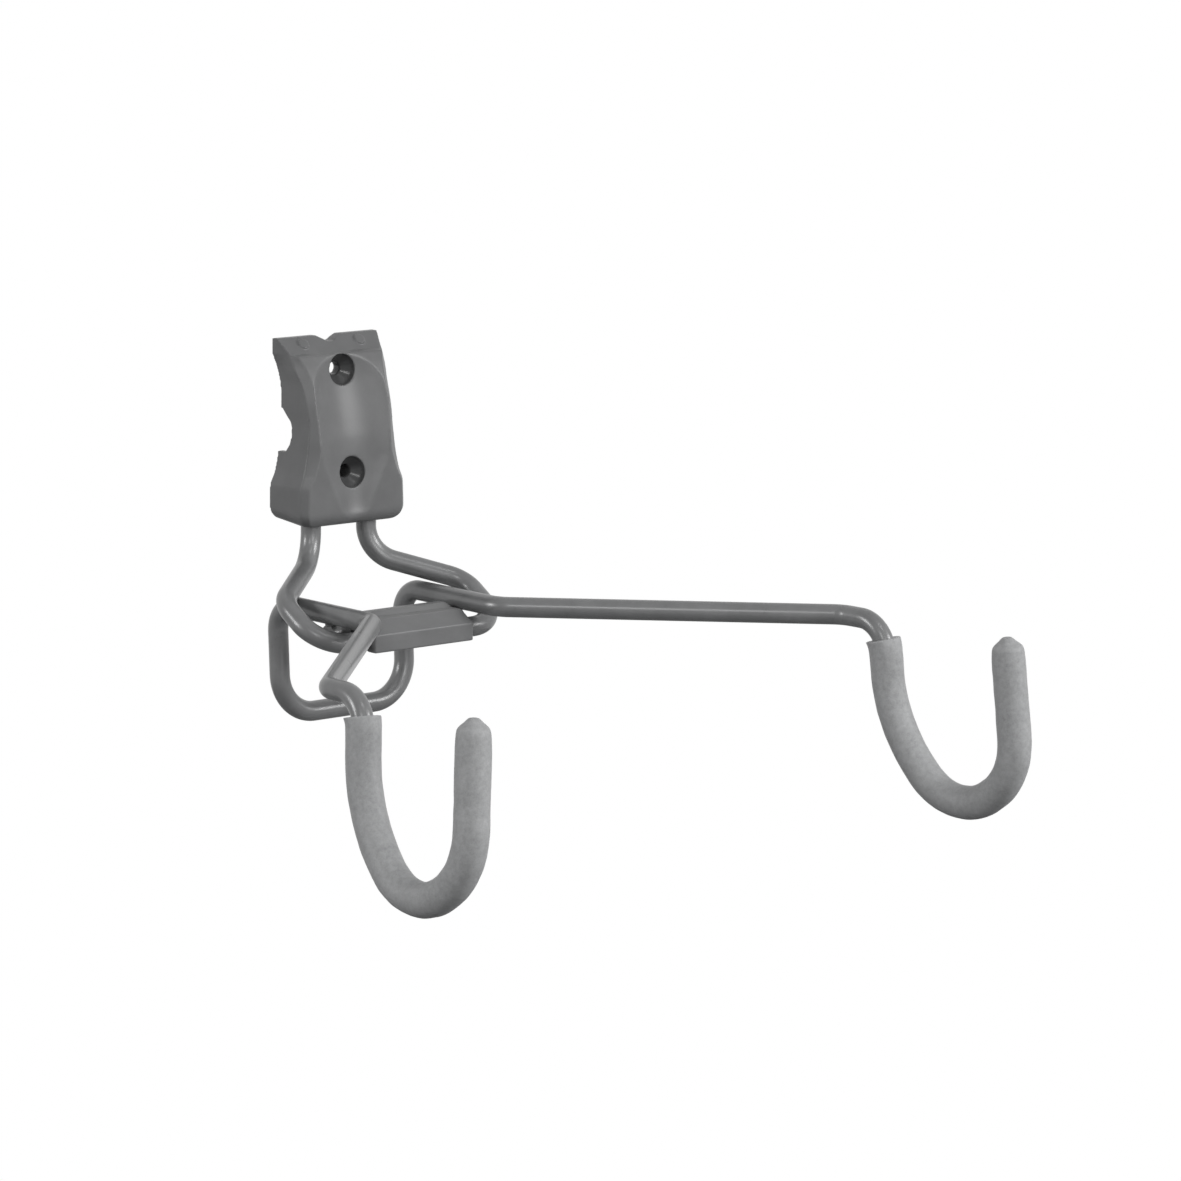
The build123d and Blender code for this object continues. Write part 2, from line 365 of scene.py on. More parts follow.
@dataclass(frozen=True)
class PaintedWire:
    """Grey satin paint baked on drawn steel wire.

    Attributes:
        name: The material's name.
        level: Its linear grey.
        tones: Its darkest and palest tone beside that.
        metallic: How metallic the paint is.
        roughness: Its mean roughness.
        clouds: How many slow swells of tone it has in a metre.
        peel: Size of the paint's ripple in millimetres.
        flakes: How many fine specks it has in a metre.
        relief: Strength of the ripple's bump.
        relief_depth: Its depth in millimetres.
        shine: The specular level.
    """

    name: str
    level: float = 0.165
    tones: tuple[float, float] = (0.86, 1.2)
    metallic: float = 0.1
    roughness: float = 0.31
    clouds: float = 95.0
    peel: float = 1.6
    flakes: float = 5200.0
    relief: float = 0.2
    relief_depth: float = 0.03
    shine: float = 0.55

    def build(self) -> bpy.types.Material:
        """Build the material.

        Returns:
            The material.
        """
        material, sheet = shader_sheet(self.name)
        where = sheet.node("ShaderNodeTexCoord").out("Object")
        cloud = sheet.noise(where, self.clouds, 4.0, 0.6)
        ripple = sheet.noise(where, 1.0 / (self.peel * MM), 1.0, 0.4)
        flake = sheet.noise(where, self.flakes, 1.0, 0.5)
        dark, pale = self.tones
        colour = sheet.ramp(cloud * 0.75 + flake * 0.25, [
            (0.3, self.level * dark), (0.5, self.level), (0.72, self.level * pale)])
        rough = cloud * 0.14 + flake * 0.08 + (self.roughness - 0.11)
        bump = sheet.node("ShaderNodeBump", None, {
            "Strength": self.relief, "Distance": self.relief_depth * MM,
            "Height": ripple * 0.85 + flake * 0.15})
        surface = sheet.node("ShaderNodeBsdfPrincipled", None, {
            "Base Color": colour, "Roughness": rough, "Normal": bump,
            "Metallic": self.metallic, "Specular IOR Level": self.shine})
        sheet.node("ShaderNodeOutputMaterial", None, {"Surface": surface})
        return material


@dataclass(frozen=True)
class GripFoam:
    """Soft grey closed-cell foam with a fine skin.

    Attributes:
        name: The material's name.
        level: Its linear grey.
        tones: Its darkest and palest tone beside that.
        roughness: Its mean roughness.
        clouds: How many slow swells of tone it has in a metre.
        mottles: How many small blotches it has in a metre.
        cell: Size of the foam's cells in millimetres.
        pores: How many pores it has in a metre.
        relief: Strength of the skin's bump.
        relief_depth: Its depth in millimetres.
        shine: The specular level.
    """

    name: str
    level: float = 0.36
    tones: tuple[float, float] = (0.8, 1.2)
    roughness: float = 0.54
    clouds: float = 130.0
    mottles: float = 560.0
    cell: float = 0.55
    pores: float = 3200.0
    relief: float = 0.5
    relief_depth: float = 0.06
    shine: float = 0.3

    def build(self) -> bpy.types.Material:
        """Build the material.

        Returns:
            The material.
        """
        material, sheet = shader_sheet(self.name)
        where = sheet.node("ShaderNodeTexCoord").out("Object")
        cloud = sheet.noise(where, self.clouds, 5.0, 0.62)
        mottle = sheet.noise(where, self.mottles, 3.0, 0.55)
        cells = sheet.node("ShaderNodeTexVoronoi", {"feature": "F1"}, {
            "Vector": where, "Scale": 1.0 / (self.cell * MM), "Randomness": 1.0})
        fine = sheet.noise(where, self.pores, 2.0, 0.6)
        dark, pale = self.tones
        colour = sheet.ramp(cloud * 0.34 + mottle * 0.4 + fine * 0.14 + cells * 0.12, [
            (0.34, self.level * dark), (0.49, self.level), (0.66, self.level * pale)])
        rough = cloud * 0.14 + (self.roughness - 0.07)
        bump = sheet.node("ShaderNodeBump", None, {
            "Strength": self.relief, "Distance": self.relief_depth * MM,
            "Height": cells * 0.4 + fine * 0.25 + mottle * 0.35})
        surface = sheet.node("ShaderNodeBsdfPrincipled", None, {
            "Base Color": colour, "Roughness": rough, "Normal": bump,
            "Specular IOR Level": self.shine})
        sheet.node("ShaderNodeOutputMaterial", None, {"Surface": surface})
        return material


@dataclass(frozen=True)
class PaleFloor:
    """Matt pale floor that fades to the white surroundings towards its rim.

    Attributes:
        name: The material's name.
        level: Its linear grey, as it is seen.
        dip: Its darkest tone beside that.
        patches: How many slow swells of tone it has in a metre.
        bounce: The grey that it throws back on the object.
        roughness: Its roughness.
        shine: The specular level.
        fade: Where the fade starts and ends, in metres from the middle.
    """

    name: str
    level: float = 0.8
    dip: float = 0.98
    patches: float = 3.0
    bounce: float = 0.1
    roughness: float = 0.9
    shine: float = 0.1
    fade: tuple[float, float] = (1.0, 2.1)

    def build(self) -> bpy.types.Material:
        """Build the material.

        Returns:
            The material.
        """
        material, sheet = shader_sheet(self.name)
        where = sheet.node("ShaderNodeTexCoord").out("Object")
        cloud = sheet.noise(where, self.patches, 3.0, 0.5)
        pale = sheet.ramp(cloud, [(0.3, self.level * self.dip), (0.7, self.level)])
        path = sheet.node("ShaderNodeLightPath")
        seen = looked_at(path)
        colour = sheet.node("ShaderNodeMix", {"data_type": "RGBA"}, {
            "Factor_Float": seen, "A_Color": (*grey(self.bounce), 1.0), "B_Color": pale})
        surface = sheet.node("ShaderNodeBsdfPrincipled", None, {
            "Base Color": colour, "Roughness": self.roughness, "Specular IOR Level": self.shine})
        white = sheet.node("ShaderNodeEmission", None, {"Color": WHITE, "Strength": 1.0})
        away = sheet.node("ShaderNodeVectorMath", {"operation": "LENGTH"}, {0: where})
        rim = sheet.node("ShaderNodeMapRange", {"interpolation_type": "SMOOTHSTEP"}, {
            "Value": away, "From Min": self.fade[0], "From Max": self.fade[1]})
        faded = sheet.node("ShaderNodeMixShader", None, {
            0: rim * path.out("Is Camera Ray"), 1: surface, 2: white})
        sheet.node("ShaderNodeOutputMaterial", None, {"Surface": faded})
        return material


# Meshes


def mesh_object(
        name: str, vertices: list, faces: list, edges: list | None = None) -> bpy.types.Object:
    """Make a mesh object in the scene.

    Args:
        name: The object's name.
        vertices: Points in metres.
        faces: Faces, as vertex numbers.
        edges: Loose edges, as vertex numbers.

    Returns:
        The object.
    """
    mesh = bpy.data.meshes.new(name)
    mesh.from_pydata([tuple(v) for v in vertices], edges or [], faces)
    mesh.update()
    made = bpy.data.objects.new(name, mesh)
    bpy.context.scene.collection.objects.link(made)
    return made


def settle(piece: bpy.types.Object) -> None:
    """Bake the modifiers of a piece into its mesh, and drop them.

    Args:
        piece: The piece, which is changed in place.
    """
    graph = bpy.context.evaluated_depsgraph_get()
    mesh = bpy.data.meshes.new_from_object(piece.evaluated_get(graph), depsgraph=graph)
    piece.modifiers.clear()
    old = piece.data
    piece.data = mesh
    bpy.data.meshes.remove(old)


def carve(
        target: bpy.types.Object, tool: bpy.types.Object, way: Carving = Carving.CUT) -> None:
    """Cut the tool out of the target, or add it, and remove the tool.

    Args:
        target: The object that changes.
        tool: The closed shape that is taken away or added.
        way: Whether it is cut out or added.
    """
    modifier = target.modifiers.new("carve", "BOOLEAN")
    modifier.operation = way.value
    modifier.solver = "EXACT"
    modifier.object = tool
    settle(target)
    bpy.data.objects.remove(tool, do_unlink=True)


def tube_faces(rings: int, count: int) -> list[tuple[int, ...]]:
    """The quads between rings of points that follow each other.

    Args:
        rings: How many rings there are.
        count: How many points each ring has.

    Returns:
        The faces, as point numbers.
    """
    return [
        (low + k, low + (k + 1) % count, low + count + (k + 1) % count, low + count + k)
        for low in range(0, (rings - 1) * count, count) for k in range(count)]


def closed_faces(rings: int, count: int) -> list[tuple[int, ...]]:
    """The quads between rings of points, and a flat face at each end.

    Args:
        rings: How many rings there are.
        count: How many points each ring has.

    Returns:
        The faces, as point numbers.
    """
    ends = [tuple(reversed(range(count))), tuple(range((rings - 1) * count, rings * count))]
    return tube_faces(rings, count) + ends


def turned(
        name: str, start: Vector, end: Vector, radii: tuple[float, float]) -> bpy.types.Object:
    """Make a closed cylinder or cone frustum between two points.

    Args:
        name: The object's name.
        start: The middle of one end, in metres.
        end: The middle of the other end.
        radii: The two ends' radii in millimetres.

    Returns:
        The object.
    """
    axis = (end - start).normalized()
    across = axis.orthogonal().normalized()
    beside = axis.cross(across)
    points = []
    for centre, radius in ((start, radii[0]), (end, radii[1])):
        for step in range(HOLE_STEPS):
            angle = 2 * math.pi * step / HOLE_STEPS
            way = across * math.cos(angle) + beside * math.sin(angle)
            points.append(centre + way * radius * MM)
    return mesh_object(name, points, closed_faces(2, HOLE_STEPS))


def prism(name: str, outline: list[Vector], depth: Vector) -> bpy.types.Object:
    """Make a closed prism.

    Args:
        name: The object's name.
        outline: Its flat outline, in metres.
        depth: The way that the outline is pushed along.

    Returns:
        The object.
    """
    points = outline + [p + depth for p in outline]
    made = mesh_object(name, points, closed_faces(2, len(outline)))
    outward(made)
    return made


def outward(piece: bpy.types.Object) -> None:
    """Merge doubles and turn the faces of a closed mesh outwards.

    Args:
        piece: The piece, which is changed in place.
    """
    work = bmesh.new()
    work.from_mesh(piece.data)
    bmesh.ops.remove_doubles(work, verts=work.verts, dist=1e-7)
    bmesh.ops.recalc_face_normals(work, faces=work.faces)
    work.to_mesh(piece.data)
    work.free()
    piece.data.update()


def thin_out(piece: bpy.types.Object, share: float) -> None:
    """Collapse the edges of a dense mesh where it is flattest.

    Args:
        piece: The mesh, which is changed in place.
        share: The share of its triangles that is kept.
    """
    modifier = piece.modifiers.new("thin_out", "DECIMATE")
    modifier.ratio = share
    modifier.use_collapse_triangulate = True
    settle(piece)


def soften(piece: bpy.types.Object, voxel: float, rounds: int) -> None:
    """Give a hard-edged solid the soft edges of a moulding.

    Each round shrinks the mesh a little towards its neighbours and swells it back, so that
    edges soften and the size stays.

    Args:
        piece: The closed mesh, which is remeshed in place.
        voxel: The remesh size in millimetres.
        rounds: How many smoothing rounds follow.
    """
    modifier = piece.modifiers.new("even_mesh", "REMESH")
    modifier.mode = "VOXEL"
    modifier.voxel_size = voxel * MM
    settle(piece)
    mesh = piece.data
    count = len(mesh.vertices)
    points = np.empty(count * 3)
    mesh.vertices.foreach_get("co", points)
    points = points.reshape(-1, 3)
    ends = np.empty(len(mesh.edges) * 2, dtype=np.int32)
    mesh.edges.foreach_get("vertices", ends)
    ends = ends.reshape(-1, 2)
    degree = np.bincount(ends.ravel(), minlength=count)[:, None]
    for pull in (SHRINK, SWELL) * rounds:
        total = np.zeros_like(points)
        for axis in range(3):
            for one, other in ((0, 1), (1, 0)):
                total[:, axis] += np.bincount(
                    ends[:, one], weights=points[ends[:, other], axis], minlength=count)
        points = points + (total / degree - points) * pull
    mesh.vertices.foreach_set("co", points.ravel())
    mesh.update()


def dress(
        piece: bpy.types.Object, finish: bpy.types.Material, body: Body, slot: Slot,
        *nodes: str) -> bpy.types.Object:
    """Give a finished piece its material and body, and hide the CAD nodes that it stands for.

    Args:
        piece: The finished object.
        finish: Its material.
        body: The body that it rides on.
        slot: The record's material slot; not used.
        *nodes: CAD nodes that it replaces.

    Returns:
        The piece.
    """
    piece.data.materials.clear()
    piece.data.materials.append(finish)
    piece.data.polygons.foreach_set("use_smooth", [True] * len(piece.data.polygons))
    piece.data.update()
    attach(piece, body.value)
    if nodes:
        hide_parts(*nodes)
    return piece


# Geometry Nodes trees


def tree_inputs(tree: bpy.types.NodeTree, inputs: dict[str, str]) -> None:
    """Give a Geometry Nodes tree its geometry sockets and named inputs.

    Args:
        tree: The tree.
        inputs: Socket types by input name.
    """
    tree.interface.new_socket("Geometry", in_out="INPUT", socket_type="NodeSocketGeometry")
    for name, kind in inputs.items():
        tree.interface.new_socket(name, in_out="INPUT", socket_type=kind)
    tree.interface.new_socket("Geometry", in_out="OUTPUT", socket_type="NodeSocketGeometry")


def bent_wire_tree() -> bpy.types.NodeTree:
    """Build the tree that rounds a route's corners and sweeps a round wire along it.

    Returns:
        The tree.
    """
    tree = bpy.data.node_groups.new("bent_wire", "GeometryNodeTree")
    tree_inputs(tree, {
        "Wire Radius": "NodeSocketFloat", "Bend Steps": "NodeSocketInt",
        "Round Steps": "NodeSocketInt", "Finish": "NodeSocketMaterial"})
    sheet = Sheet(tree)
    given = sheet.node("NodeGroupInput")
    route = sheet.node("GeometryNodeMeshToCurve", None, {"Mesh": given.out("Geometry")})
    bend, scale = (
        sheet.node("GeometryNodeInputNamedAttribute", {"data_type": "FLOAT"}, {"Name": name})
        for name in ("bend_radius", "wire_scale"))
    sized = sheet.node("GeometryNodeSetCurveRadius", None, {"Curve": route, "Radius": scale})
    rounded = sheet.node("GeometryNodeFilletCurve", {"mode": "POLY"}, {
        "Curve": sized, "Count": given.out("Bend Steps"), "Radius": bend,
        "Limit Radius": False})
    ring = sheet.node("GeometryNodeCurvePrimitiveCircle", {"mode": "RADIUS"}, {
        "Resolution": given.out("Round Steps"), "Radius": given.out("Wire Radius")})
    skin = sheet.node("GeometryNodeCurveToMesh", None, {
        "Curve": rounded, "Profile Curve": ring, "Fill Caps": True})
    smooth = sheet.node("GeometryNodeSetShadeSmooth", None, {"Geometry": skin})
    real = sheet.node("GeometryNodeRealizeInstances", None, {"Geometry": smooth})
    painted = sheet.node("GeometryNodeSetMaterial", None, {
        "Geometry": real, "Material": given.out("Finish")})
    sheet.node("NodeGroupOutput", None, {"Geometry": painted})
    return tree


def weld_bead_tree() -> bpy.types.NodeTree:
    """Build the tree that puts a lumpy weld bead on each point.

    Returns:
        The tree.
    """
    tree = bpy.data.node_groups.new("weld_beads", "GeometryNodeTree")
    tree_inputs(tree, {
        "Bead Size": "NodeSocketVector", "Lump Height": "NodeSocketFloat",
        "Finish": "NodeSocketMaterial"})
    sheet = Sheet(tree)
    given = sheet.node("NodeGroupInput")
    ball = sheet.node("GeometryNodeMeshIcoSphere", None, {
        "Radius": 1.0, "Subdivisions": BEAD_DETAIL})
    beads = sheet.node("GeometryNodeInstanceOnPoints", None, {
        "Points": given.out("Geometry"), "Instance": ball, "Scale": given.out("Bead Size")})
    real = sheet.node("GeometryNodeRealizeInstances", None, {"Geometry": beads})
    lumps = sheet.node("ShaderNodeTexNoise", {"noise_dimensions": "4D"}, {
        "W": LUMP_SEED, "Scale": LUMPS_PER_METRE, "Detail": 2.0})
    height = (lumps - 0.5) * given.out("Lump Height")
    away = sheet.node("ShaderNodeVectorMath", {"operation": "SCALE"}, {
        0: sheet.node("GeometryNodeInputNormal"), "Scale": height})
    lumpy = sheet.node("GeometryNodeSetPosition", None, {"Geometry": real, "Offset": away})
    painted = sheet.node("GeometryNodeSetMaterial", None, {
        "Geometry": lumpy, "Material": given.out("Finish")})
    sheet.node("NodeGroupOutput", None, {"Geometry": painted})
    return tree


def pip_tree() -> bpy.types.NodeTree:
    """Build the tree that puts a low round pad on each point, tipped back with the lip.

    Returns:
        The tree.
    """
    tree = bpy.data.node_groups.new("lip_pips", "GeometryNodeTree")
    tree_inputs(tree, {
        "Pad Radius": "NodeSocketFloat", "Pad Height": "NodeSocketFloat",
        "Tip Back": "NodeSocketRotation", "Finish": "NodeSocketMaterial"})
    sheet = Sheet(tree)
    given = sheet.node("NodeGroupInput")
    pad = sheet.node("GeometryNodeMeshCylinder", None, {
        "Vertices": PAD_STEPS, "Radius": given.out("Pad Radius"),
        "Depth": given.out("Pad Height")})
    pads = sheet.node("GeometryNodeInstanceOnPoints", None, {
        "Points": given.out("Geometry"), "Instance": pad, "Rotation": given.out("Tip Back")})
    real = sheet.node("GeometryNodeRealizeInstances", None, {"Geometry": pads})
    painted = sheet.node("GeometryNodeSetMaterial", None, {
        "Geometry": real, "Material": given.out("Finish")})
    sheet.node("NodeGroupOutput", None, {"Geometry": painted})
    return tree


def grown(
        source: bpy.types.Object, tree: bpy.types.NodeTree, values: dict,
        name: str) -> bpy.types.Object:
    """Run a tree on the source and keep the result as a plain mesh.

    Args:
        source: The object that carries the points, which turns into the result.
        tree: The tree.
        values: Its named inputs.
        name: The result's name.

    Returns:
        The object.
    """
    modifier = source.modifiers.new("grow", "NODES")
    modifier.node_group = tree
    for item in tree.interface.items_tree:
        if item.in_out == "INPUT" and item.name in values:
            modifier[item.identifier] = values[item.name]
    settle(source)
    source.name = source.data.name = name
    return source


def wire_route(
        name: str, points: list[Vector], radii: list[float],
        scales: list[float]) -> bpy.types.Object:
    """Make a route as a chain of edges, with each point's bend radius and wire scale.

    Args:
        name: The object's name.
        points: The route's corners in metres.
        radii: A bend radius in millimetres for each point; 0 at the ends.
        scales: The wire's relative thickness at each point.

    Returns:
        The object.
    """
    made = mesh_object(name, points, [], [(i, i + 1) for i in range(len(points) - 1)])
    for attribute, numbers in (("bend_radius", [r * MM for r in radii]), ("wire_scale", scales)):
        layer = made.data.attributes.new(attribute, "FLOAT", "POINT")
        layer.data.foreach_set("value", numbers)
    return made


# Curves


def rounding(depth: float, radius: float) -> float:
    """How far a rounded corner has fallen away at a depth past its start."""
    past = min(max(depth, 0.0), radius)
    return radius - math.sqrt(radius * radius - past * past)


def smooth_min(first: float, second: float, width: float) -> float:
    """The lesser of two numbers, with the change between them rounded over a width."""
    near = max(width - abs(first - second), 0.0) / width
    return min(first, second) - near * near * width / 4


def smooth_curve(rows: list[tuple[float, float]], at: float) -> float:
    """Read a smooth curve through given points, which doesn't overshoot them.

    Args:
        rows: Rising positions, each with its value.
        at: Where it is read.

    Returns:
        The value there.
    """
    levels, values = [row[0] for row in rows], [row[1] for row in rows]
    if len(levels) == 2 or at <= levels[0] or at >= levels[-1]:
        return float(np.interp(at, levels, values))
    slopes = [(b - a) / (q - p) for a, b, p, q in zip(values, values[1:], levels, levels[1:])]
    tilts = [slopes[0]]
    for left, right in zip(slopes, slopes[1:]):
        tilts.append(0.0 if left * right <= 0 else 2 * left * right / (left + right))
    tilts.append(slopes[-1])
    k = max(i for i in range(len(levels) - 1) if levels[i] <= at)
    span = levels[k + 1] - levels[k]
    t = (at - levels[k]) / span
    low = (2 * t ** 3 - 3 * t ** 2 + 1) * values[k] + (t ** 3 - 2 * t ** 2 + t) * span * tilts[k]
    return low + (3 * t ** 2 - 2 * t ** 3) * values[k + 1] + (t ** 3 - t ** 2) * span * tilts[k + 1]


# Sub-assemblies


@dataclass
class WireStock:
    """The round wire that every bent part is made from.

    Attributes:
        diameter: Its size in millimetres.
        bend_steps: How many steps each bend has.
        round_steps: How many sides its section has.
    """

    diameter: float = 8.0
    bend_steps: int = 28
    round_steps: int = 56

    def sweep(
            self, name: str, points: list[Vector], radii: list[float],
            finish: bpy.types.Material, end_scale: float = 1.0) -> bpy.types.Object:
        """Bend the wire along a route.

        Args:
            name: The piece's name.
            points: The route's corners in metres.
            radii: The bend radius at each inner corner, in millimetres.
            finish: The wire's material.
            end_scale: The relative thickness at the two very ends.

        Returns:
            The piece.
        """
        scales = [end_scale] + [1.0] * len(radii) + [end_scale]
        route = wire_route(name + "_route", points, [0.0, *radii, 0.0], scales)
        return grown(route, bent_wire_tree(), {
            "Wire Radius": self.diameter / 2 * MM, "Bend Steps": self.bend_steps,
            "Round Steps": self.round_steps, "Finish": finish}, name)


@dataclass
class WallLoop:
    """The wire loop that hangs from the bracket and holds the hinge clip.

    Attributes:
        leg_half: Half the distance between the two legs, in millimetres as all sizes here.
        leg_out: The legs' distance from the wall.
        socket_top: The level of the legs' ends.
        leg_bend_up: The level of the corner below each leg.
        leg_bend_radius: That corner's bend.
        loop_half: Half the loop's width.
        loop_out: The rear corners' distance from the wall.
        loop_up: Their level.
        loop_radius: Their bend.
        bar_out: The front bar's distance from the wall.
        bar_up: Its level.
        bar_radius: Its corners' bend.
    """

    leg_half: float = 13.85
    leg_out: float = 10.7
    socket_top: float = 6.0
    leg_bend_up: float = -54.6
    leg_bend_radius: float = 15.0
    loop_half: float = 45.4
    loop_out: float = 33.9
    loop_up: float = -65.5
    loop_radius: float = 13.9
    bar_out: float = 57.0
    bar_up: float = -79.6
    bar_radius: float = 14.5

    def build(self, stock: WireStock, finish: bpy.types.Material) -> bpy.types.Object:
        """Bend and dress the loop.

        Args:
            stock: The wire.
            finish: Its material.

        Returns:
            The piece.
        """
        points = mirrored([
            place(self.leg_half, self.leg_out, self.socket_top),
            place(self.leg_half, self.leg_out, self.leg_bend_up),
            place(self.loop_half, self.loop_out, self.loop_up),
            place(self.loop_half, self.bar_out, self.bar_up),
        ])
        radii = [self.leg_bend_radius, self.loop_radius, self.bar_radius]
        piece = stock.sweep("loop_wire", points, radii + radii[::-1], finish)
        return dress(piece, finish, Body.WALL_MOUNT, Slot.WIRE, "wall_wire")


@dataclass
class Carrier:
    """The wire carrier: rails, stop loop, arms and the two hooks' wire.

    Each corner of a hook is its distance past the arm's corner, its drop below the rails
    and its bend.

    Attributes:
        rail_half: Half the distance between the rails, in millimetres as all sizes here.
        rail_up: The rails' level.
        pivot_out: The hinge axis' distance from the wall.
        pivot_overhang: How far the rod reaches past the rails' middles.
        pivot_chamfer: How long its thinner ends are.
        pivot_end: How thick they are beside the rod.
        stop_top_out: The stop loop's upper corners' distance from the wall.
        stop_top_radius: Their bend.
        stop_bottom_out: The lower corners' distance from the wall.
        stop_bottom_radius: Their bend.
        stop_drop: How far the stop loop hangs below the rails.
        rail_corner_out: Where the rails turn into the arms.
        rail_corner_radius: That corner's bend.
        arm_half: Half the distance between the arms' far corners.
        arm_out: Those corners' distance from the wall.
        arm_radius: Their bend.
        neck: The corner where a hook turns down.
        back: The corner behind its floor.
        floor: Its lowest corner.
        toe: The corner where it turns up.
        tip: Its end.
        toe_splay: How much it spreads for each millimetre out.
        drop_splay: How much it spreads for each millimetre down.
        tip_cover: How far the foam's nose reaches past the wire.
        bead_size: A weld bead's half sizes.
        bead_lump: How lumpy it is.
    """

    rail_half: float = 31.35
    rail_up: float = -69.9
    pivot_out: float = 46.0
    pivot_overhang: float = 1.5
    pivot_chamfer: float = 0.5
    pivot_end: float = 0.88
    stop_top_out: float = 11.8
    stop_top_radius: float = 10.5
    stop_bottom_out: float = 14.4
    stop_bottom_radius: float = 16.2
    stop_drop: float = 44.6
    rail_corner_out: float = 71.7
    rail_corner_radius: float = 11.7
    arm_half: float = 127.2
    arm_out: float = 166.8
    arm_radius: float = 10.5
    neck: tuple[float, float, float] = (21.7, 0.0, 12.8)
    back: tuple[float, float, float] = (24.4, 40.4, 57.4)
    floor: tuple[float, float, float] = (56.7, 73.7, 27.0)
    toe: tuple[float, float, float] = (89.5, 51.2, 27.0)
    tip: tuple[float, float, float] = (86.0, -2.9, 0.0)
    toe_splay: float = 0.044
    drop_splay: float = 0.07
    tip_cover: float = 4.5
    bead_size: tuple[float, float, float] = (2.1, 2.8, 0.9)
    bead_lump: float = 0.15

    def hook_place(self, hand: Hand, out: float, drop: float) -> Vector:
        """Place a point of a hook.

        Args:
            hand: The side that the hook is on.
            out: The point's distance past the arm's corner.
            drop: Its drop below the rails.

        Returns:
            The point.
        """
        splay = self.toe_splay * out + self.drop_splay * drop
        return place(
            hand.value * (self.arm_half + splay), self.arm_out + out, self.rail_up - drop)

    def hook_corners(self, hand: Hand) -> list[Vector]:
        """The corners of one hook, from its neck to its tip."""
        corners = (self.neck, self.back, self.floor, self.toe, self.tip)
        return [self.hook_place(hand, out, drop) for out, drop, _ in corners]

    def hook_radii(self) -> list[float]:
        """The bend radii of one hook's inner corners, from its neck on."""
        return [corner[2] for corner in (self.neck, self.back, self.floor, self.toe)]

    def build(self, stock: WireStock, finish: bpy.types.Material) -> list[bpy.types.Object]:
        """Bend the carrier, and weld the pivot rod under its rails.

        Args:
            stock: The wire.
            finish: Its material.

        Returns:
            The carrier wire, the pivot rod and the weld beads.
        """
        hook = self.hook_corners(Hand.RIGHT)
        hook[-1] = hook[-1] + (hook[-2] - hook[-1]).normalized() * self.tip_cover * MM
        side = list(reversed(hook)) + [
            place(self.arm_half, self.arm_out, self.rail_up),
            place(self.rail_half, self.rail_corner_out, self.rail_up),
            place(self.rail_half, self.stop_top_out, self.rail_up),
            place(self.rail_half, self.stop_bottom_out, self.rail_up - self.stop_drop),
        ]
        radii = list(reversed(self.hook_radii())) + [
            self.arm_radius, self.rail_corner_radius, self.stop_top_radius,
            self.stop_bottom_radius]
        wire = stock.sweep("carrier_wire", mirrored(side), radii + radii[::-1], finish)
        dress(wire, finish, Body.CARRIER, Slot.WIRE, "arm_wire")

        half = self.rail_half + self.pivot_overhang
        inner = half - self.pivot_chamfer
        rod_up = self.rail_up - stock.diameter
        ends = [place(s, self.pivot_out, rod_up) for s in (-half, -inner, inner, half)]
        rod = stock.sweep("pivot_cross_rod", ends, [0.0, 0.0], finish, self.pivot_end)
        dress(rod, finish, Body.CARRIER, Slot.WIRE, "pivot_rod")

        weld_up = self.rail_up - stock.diameter / 2
        spots = [place(hand.value * self.rail_half, self.pivot_out, weld_up) for hand in Hand]
        beads = grown(mesh_object("weld_spots", spots, []), weld_bead_tree(), {
            "Bead Size": [c * MM for c in self.bead_size], "Lump Height": self.bead_lump * MM,
            "Finish": finish}, "weld_beads")
        dress(beads, finish, Body.CARRIER, Slot.WIRE)
        return [wire, rod, beads]


@dataclass
class Route:
    """A route with rounded corners, sampled evenly enough for a sleeve to follow.

    Attributes:
        corners: The corners in metres.
        radii: The inner corners' radii in millimetres.
        step: The greatest distance between samples in millimetres.
    """

    corners: list[Vector]
    radii: list[float]
    step: float = 1.0

    def samples(self) -> list[Vector]:
        """Sample the route.

        Returns:
            Points along it, from its first corner to its last.
        """
        points = [self.corners[0]]
        for before, corner, after, radius in zip(
                self.corners, self.corners[1:], self.corners[2:], self.radii):
            back = (before - corner).normalized()
            on = (after - corner).normalized()
            opening = back.angle(on)
            reach = radius * MM / math.tan(opening / 2)
            start = corner + back * reach
            end = corner + on * reach
            centre = corner + (back + on).normalized() * radius * MM / math.sin(opening / 2)
            self._line(points, start)
            turn = math.pi - opening
            count = max(6, int(turn * radius / self.step))
            axis = (start - centre).cross(end - centre).normalized()
            for k in range(1, count + 1):
                swing = Matrix.Rotation(turn * k / count, 3, axis)
                points.append(centre + swing @ (start - centre))
        self._line(points, self.corners[-1])
        return points

    def _line(self, points: list[Vector], end: Vector) -> None:
        """Add a straight run.

        Args:
            points: The points so far, which it follows on.
            end: Where it ends.
        """
        start = points[-1]
        count = max(1, int((end - start).length / (self.step * MM)))
        points.extend(start.lerp(end, k / count) for k in range(1, count + 1))


